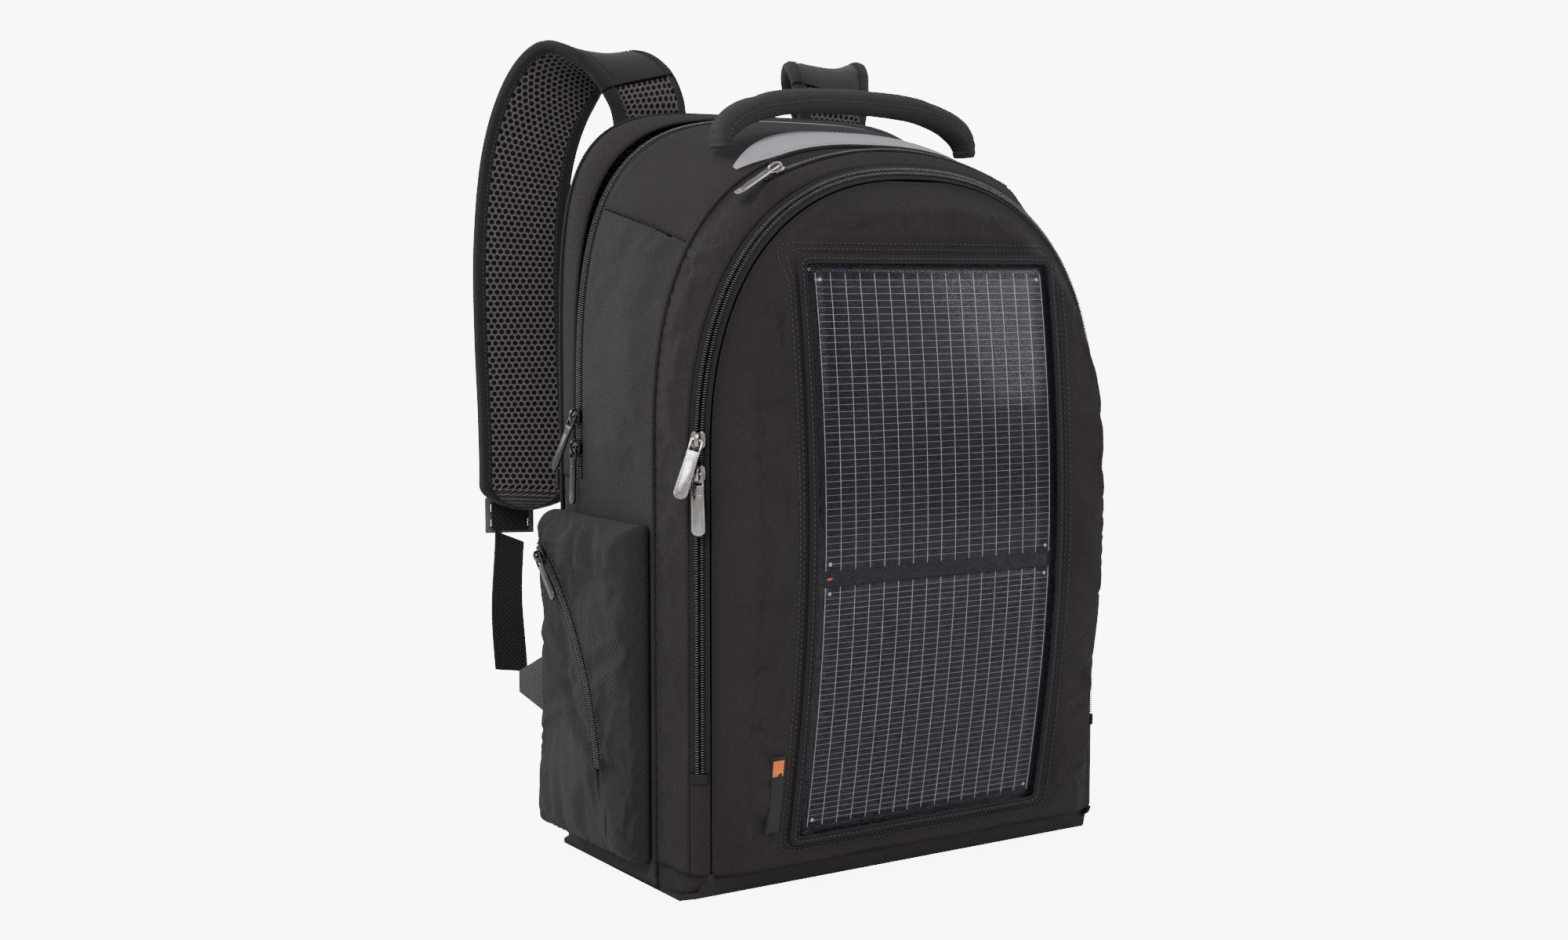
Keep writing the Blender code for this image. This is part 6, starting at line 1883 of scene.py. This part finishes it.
def strap_frame(side):
    """Points of a strap with its width and outward directions, close together."""
    curve = spline([(x * side, y, z) for x, y, z in STRAP_ROUTE], 12)
    last = len(curve) - 1
    rows = []
    for index, point in enumerate(curve):
        share = index / last
        along = direction(curve, index).normalized()
        across = strap_across(side, share)
        across = (across - along * across.dot(along)).normalized()
        normal = along.cross(across).normalized()
        hint = Vector((0.0, 0.6, 1.0)) if share < 0.42 else Vector((0.0, 1.0, 0.1))
        if normal.dot(hint) < 0.0:
            normal = -normal
        round_end = math.sqrt(max(1.0 - max((share - 0.945) / 0.055, 0.0) ** 2, 0.05))
        width = STRAP_WIDTH * round_end * (0.86 + 0.14 * smoothstep(share * 5.0))
        rows.append((point, across, normal, width, share))
    return rows


def strap(word, side):
    """A padded strap: satin outside, spacer mesh inside, bound along both edges."""
    rows = strap_frame(side)
    grid = []
    outer_steps = 22
    inner_steps = 22
    for point, across, normal, width, share in rows:
        half = width / 2.0 - 0.0006
        row = []
        for step in range(outer_steps + 1):
            s = -1.0 + 2.0 * step / outer_steps
            edge = (1.0 - abs(s)) * half
            crown = math.sqrt(max(1.0 - (1.0 - min(edge / 0.006, 1.0)) ** 2, 0.0))
            channel = 0.0011 * bell(edge, 0.0095, 0.0022)
            wave = 0.0005 * folds(point + across * s * half, 30.0)
            depth = STRAP_THICKNESS / 2.0 * (0.30 + 0.66 * crown) - channel + wave * crown
            row.append(point + across * half * s + normal * depth)
        for step in range(inner_steps + 1):
            s = 1.0 - 2.0 * step / inner_steps
            edge = (1.0 - abs(s)) * half
            crown = math.sqrt(max(1.0 - (1.0 - min(edge / 0.005, 1.0)) ** 2, 0.0))
            channel = 0.0013 * bell(edge, 0.0105, 0.0020)
            depth = -STRAP_THICKNESS / 2.0 * (0.30 + 0.66 * crown) + channel
            row.append(point + across * half * s + normal * depth)
        grid.append(row)
    piece = tube_from(f"strap_pad_{word}", grid)
    sides = outer_steps + inner_steps + 2
    dress(piece, ["satin", "padded_mesh", "binding"], "rear_flap", [f"strap_{word}"])
    for face in piece.data.polygons:
        columns = sorted(index % sides for index in face.vertices)
        if len(columns) > 4:
            face.material_index = 2
            continue
        low, high = columns[0], columns[-1]
        column = low if high - low <= 1 else high
        in_outer = column < outer_steps
        step = column if in_outer else column - outer_steps - 1
        share = min(step + 0.5, abs(outer_steps - step - 0.5))
        if column in (outer_steps, sides - 1) or share < 3.0:
            face.material_index = 2
        else:
            face.material_index = 0 if in_outer else 1
    lines = []
    for sign in (-1, 1):
        points = []
        ups = []
        for point, across, normal, width, share in rows[2:-8]:
            reach = width / 2.0 - 0.0006 - 0.0072
            points.append(point + across * sign * reach + normal * (STRAP_THICKNESS * 0.475))
            ups.append(normal)
        lines.append((points, ups))
        inner = [p - n * STRAP_THICKNESS * 0.955 for p, n in zip(points, ups)]
        lines.append((inner, [-n for n in ups]))
    stitches(f"strap_stitches_{word}", lines, "rear_flap")


def rectangle_plate(name, centre, half_x, half_z, y, thickness):
    grid = []
    for z in spread(centre[1] - half_z, centre[1] + half_z, 16):
        row = []
        for x in spread(centre[0] - half_x, centre[0] + half_x, 40):
            lift = 0.0004 * folds((x, 0.0, z), 40.0)
            row.append((x, y + lift, z))
        grid.append(row)
    piece = loft(name, grid, BACKWARD)
    return thicken(piece, thickness)


def make_straps():
    for word, side in SIDES:
        strap(word, side)
    yoke = rectangle_plate("yoke_cloth", (0.0, 0.450), 0.118, 0.020, PAD_REAR_Y + 0.0029, 0.0024)
    dress(yoke, "bag_fabric", "rear_flap", ["strap_yoke"])
    lines = []
    for z in (0.4335, 0.4365, 0.4635, 0.4665):
        points = [Vector((x, PAD_REAR_Y + 0.0031, z)) for x in spread(-0.114, 0.114, 30)]
        lines.append((points, [BACKWARD] * len(points)))
    stitches("yoke_stitches", lines, "rear_flap")


def make_adjusters():
    """Tabs, ladder locks, the webbing and the wings at the lower corners."""
    for word, side in SIDES:
        tab = soften(f"strap_tab_{word}", f"tab_webbing_{word}", 0.0004)
        dress(tab, "webbing", "rear_flap", [f"strap_tab_{word}"])
        lock = soften(f"ladder_lock_{word}", f"lock_{word}", 0.0009, 3)
        dress(lock, "lock_plastic", f"ladder_lock_{word}", [f"ladder_lock_{word}"])
        turn = Matrix.Rotation(side * math.radians(22.0), 3, "Z")
        centre = Vector((side * LOCK_MIDDLE.x, LOCK_MIDDLE.y, LOCK_MIDDLE.z))
        loop = [(0.0036, 0.0095), (0.0044, 0.0050), (0.0042, 0.0), (0.0044, -0.0050), (0.0036, -0.0100)]
        loop = spline([centre + turn @ Vector((0.0, y, z)) for y, z in loop], 6)
        threaded = band(
            f"lock_webbing_{word}", loop, [turn @ BACKWARD] * len(loop), WEB_WIDTH, 0.0013
        )
        dress(threaded, "webbing", f"ladder_lock_{word}")
        inner = [(-0.0034, 0.0095), (-0.0040, 0.0), (-0.0034, -0.0100)]
        inner = spline([centre + turn @ Vector((0.0, y, z)) for y, z in inner], 6)
        threaded = band(
            f"lock_loop_{word}", inner, [turn @ FORWARD] * len(inner), WEB_WIDTH, 0.0013
        )
        dress(threaded, "webbing", f"ladder_lock_{word}")
        wing = soften(f"wing_{word}", f"wing_cloth_{word}", 0.0009, 3)
        dress(wing, "wing_webbing", "pack_body", [f"wing_{word}"])
        start = centre - Vector((0.0, 0.0, 0.0125 + 0.0012 + WEB_THICKNESS))
        end = Vector((side * WING_TIP.x, WING_TIP.y + 0.010, WING_TIP.z + 0.006))
        middle = start.lerp(end, 0.5) + Vector((side * 0.004, -0.003, 0.0))
        curve = spline((start, middle, end), 20)
        ups = [Vector((0.0, 1.0, 0.3))] * len(curve)
        web = band(f"webbing_strap_{word}", curve, ups, WEB_WIDTH, WEB_THICKNESS * 0.9, 0.0001)
        dress(web, "webbing", None, [f"webbing_{word}"])
        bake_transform(web)


# ---------------------------------------------------------------- seams, inside and electronics
def make_seams():
    """Soft rolls where the body's panels meet."""
    radius = bpy.context.scene.solar_pack_sizes.piping
    start = parameter_at_z(0.012)
    spots = outline_parameters(start, 4.0 - start, 50, 140)
    ups = [outward(SEAM_Y, u) for u in spots]
    points = [outline_point(SEAM_Y, u) + up * 0.0006 for u, up in zip(spots, ups)]
    roll = cord_tube("front_seam_roll", points, radius, 10, 0.8, ups)
    dress(roll, "bag_fabric", "pack_body")
    above = parameter_at_z(MAIN_ZIP_END_Z + GAP)
    below = parameter_at_z(MAIN_ZIP_END_Z - GAP)
    for low, high, part, owner in (
        (above, 4.0 - above, "upper", "rear_flap"),
        (start, below, "left", "pack_body"),
        (4.0 - below, 4.0 - start, "right", "pack_body"),
    ):
        spots = outline_parameters(low, high, 50, 140)
        ups = [outward(BACK_Y, u) for u in spots]
        points = [outline_point(BACK_Y, u) + up * 0.0002 for u, up in zip(spots, ups)]
        points = [Vector((p.x, BACK_Y + 0.0035, p.z)) for p in points]
        roll = cord_tube(f"rear_seam_roll_{part}", points, radius * 0.85, 8, 0.9, ups)
        dress(roll, "binding", owner)


def make_interior():
    """Divider between the compartments and the sleeve for a laptop."""
    half, top, power = section(SEAM_Y)
    inset = FABRIC + 0.0014
    half -= inset
    top -= inset
    rows = arch_rows(WALL_FOOT_Z + inset, SPRING_Z, top - 0.001, 22, 26)
    grid = []
    for z in rows:
        edge = half
        if z > SPRING_Z:
            edge = half * (1.0 - ((z - SPRING_Z) / (top - SPRING_Z)) ** power) ** (1.0 / power)
        row = []
        for share in spread(-1.0, 1.0, 40):
            x = edge * math.sin(math.pi / 2.0 * share)
            row.append((x, SEAM_Y + 0.0002 + 0.0004 * folds((x, 0.0, z), 14.0), z))
        grid.append(row)
    divider = loft("divider_cloth", grid, FORWARD)
    thicken(divider, 0.0014)
    dress(divider, "bag_fabric", "pack_body", ["divider_panel"])
    grid = []
    for z in spread(WALL_FOOT_Z, 0.236, 40):
        row = []
        for x in spread(-0.140, 0.140, 44):
            slack = 0.0028 * smoothstep((z - 0.12) / 0.1) * math.cos(math.pi * x / 0.28)
            row.append((x, 0.0362 - slack + 0.0005 * folds((x, 0.0, z), 14.0), z))
        grid.append(row)
    sleeve = loft("sleeve_cloth", grid, FORWARD)
    thicken(sleeve, 0.0016)
    dress(sleeve, "side_fabric", "pack_body", ["laptop_sleeve"])
    hem = []
    for x in spread(-0.139, 0.139, 30):
        hem.append(Vector((x, 0.0352 - 0.0028 * math.cos(math.pi * x / 0.28), 0.2335)))
    edge = band("sleeve_hem", hem, [FORWARD] * len(hem), 0.010, 0.0014, 0.0003)
    dress(edge, "binding", "pack_body")


def make_controller():
    """The charge controller keeps its moulded parts, in finished materials."""
    for node, material in (
        ("controller_tray", "black_plastic"), ("controller_lid", "black_plastic"),
        ("controller_board", "circuit_board"), ("usb_socket", "socket_steel"),
    ):
        owner = frame["nodes"][node]
        owner.data.materials.clear()
        owner.data.materials.append(finish_of(material))


# ---------------------------------------------------------------- stage
def area_light(name, place, target, size, power, size_y=None):
    data = bpy.data.lights.new(name, "AREA")
    data.shape = "RECTANGLE"
    data.size = size
    data.size_y = size_y or size
    data.energy = power
    lamp = bpy.data.objects.new(name, data)
    lamp.location = place
    lamp.rotation_euler = (Vector(target) - Vector(place)).to_track_quat("-Z", "Y").to_euler()
    bpy.context.scene.collection.objects.link(lamp)


def make_stage():
    """A pale floor, a backdrop as bright as it to the camera, soft lights and the camera."""
    mesh = bpy.data.meshes.new("floor")
    corners = [(x * FLOOR_HALF, y * FLOOR_HALF, 0.0) for x, y in ((-1, -1), (1, -1), (1, 1), (-1, 1))]
    mesh.from_pydata(corners, [], [(0, 1, 2, 3)])
    floor = link_mesh("floor", mesh)
    floor.data.materials.append(finish_of("floor"))
    world = bpy.context.scene.world or bpy.data.worlds.new("studio")
    bpy.context.scene.world = world
    world.use_nodes = True
    graph = Graph(world.node_tree)
    seen = graph.node("ShaderNodeLightPath").outputs["Is Camera Ray"]
    strength = graph.calc("MULTIPLY_ADD", seen, BACKDROP_STRENGTH - STUDIO_STRENGTH, STUDIO_STRENGTH)
    background = world.node_tree.nodes["Background"]
    background.inputs["Color"].default_value = (1.0, 1.0, 1.0, 1.0)
    world.node_tree.links.new(strength, background.inputs["Strength"])
    area_light("key", (-1.7, -1.1, 1.8), (0.0, 0.0, 0.25), 0.9, 42.0)
    area_light("fill", (1.7, -1.3, 1.0), (0.0, 0.0, 0.25), 1.2, 14.0)
    area_light("rim", (-1.0, 1.7, 1.5), (0.0, 0.0, 0.30), 1.2, 20.0)
    data = bpy.data.cameras.new("camera")
    data.lens = CAMERA_LENS
    data.sensor_width = 36.0
    camera = bpy.data.objects.new("camera", data)
    camera.location = CAMERA_PLACE
    camera.rotation_euler = CAMERA_TURN
    bpy.context.scene.collection.objects.link(camera)
    bpy.context.scene.camera = camera


# ---------------------------------------------------------------- operators
def operator(name, label, text, makers):
    """An operator class that runs the makers of one group of pieces."""

    def execute(self, context):
        for maker in makers:
            maker()
        return {"FINISHED"}

    return type(
        f"SOLARPACK_OT_{name}", (bpy.types.Operator,),
        {"bl_idname": f"solar_pack.{name}", "bl_label": label, "__doc__": text, "execute": execute},
    )


OPERATORS = (
    operator("stage", "Stage", "Add the floor, the lights and the camera", (make_stage,)),
    operator("side_panels", "Side panels", "Build the cloth of both side walls", (make_side_panels,)),
    operator("top_gusset", "Top gusset", "Build the cloth over the top", (make_top_gusset,)),
    operator("front_gusset", "Front gusset", "Build the band around the front pocket", (make_front_gusset,)),
    operator(
        "base", "Base", "Build the base and the sewn lower corners",
        (make_base, make_corner_cloth, make_corner_darts),
    ),
    operator("cover", "Front cover", "Build the slack cloth of the front cover", (make_cover,)),
    operator("window", "Solar window", "Build modules, film, piping and stitches", (make_window,)),
    operator("label", "Label", "Build the small woven tab", (make_label,)),
    operator("zips", "Zips", "Build every zip's tape and teeth", (make_zips,)),
    operator("sliders", "Sliders", "Build sliders and pulls", (make_sliders,)),
    operator("pockets", "Side pockets", "Build both side pockets", (make_pockets,)),
    operator("top_panel", "Top panel", "Build the pale panel under the handle", (make_top_panel,)),
    operator("handle", "Handle", "Build the padded grip", (make_handle,)),
    operator("back", "Back", "Build the padded back and its gusset", (make_back, make_rear_gusset)),
    operator("straps", "Straps", "Build the padded shoulder straps", (make_straps,)),
    operator("adjusters", "Adjusters", "Build tabs, locks, webbing and wings", (make_adjusters,)),
    operator("seams", "Seams", "Build the soft rolls along the seams", (make_seams,)),
    operator("interior", "Interior", "Build the divider and the sleeve", (make_interior,)),
    operator("controller", "Controller", "Finish the charge controller", (make_controller,)),
)


class SOLARPACK_PT_pieces(bpy.types.Panel):
    """Lists the pieces of the backpack"""

    bl_label = "Solar Backpack"
    bl_idname = "SOLARPACK_PT_pieces"
    bl_space_type = "VIEW_3D"
    bl_region_type = "UI"
    bl_category = "Solar Backpack"

    def draw(self, context):
        layout = self.layout
        for group_of in (context.scene.solar_pack_colours, context.scene.solar_pack_sizes):
            for name in group_of.__annotations__:
                layout.prop(group_of, name)
        for kind in OPERATORS:
            layout.operator(kind.bl_idname)


CLASSES = (SolarPackColours, SolarPackSizes, *OPERATORS, SOLARPACK_PT_pieces)


def register():
    for kind in CLASSES:
        bpy.utils.register_class(kind)
    bpy.types.Scene.solar_pack_colours = bpy.props.PointerProperty(type=SolarPackColours)
    bpy.types.Scene.solar_pack_sizes = bpy.props.PointerProperty(type=SolarPackSizes)


def unregister():
    del bpy.types.Scene.solar_pack_sizes
    del bpy.types.Scene.solar_pack_colours
    for kind in reversed(CLASSES):
        bpy.utils.unregister_class(kind)


def main():
    register()
    for kind in OPERATORS:
        family, name = kind.bl_idname.split(".")
        getattr(getattr(bpy.ops, family), name)()


if __name__ == "__main__":
    main()
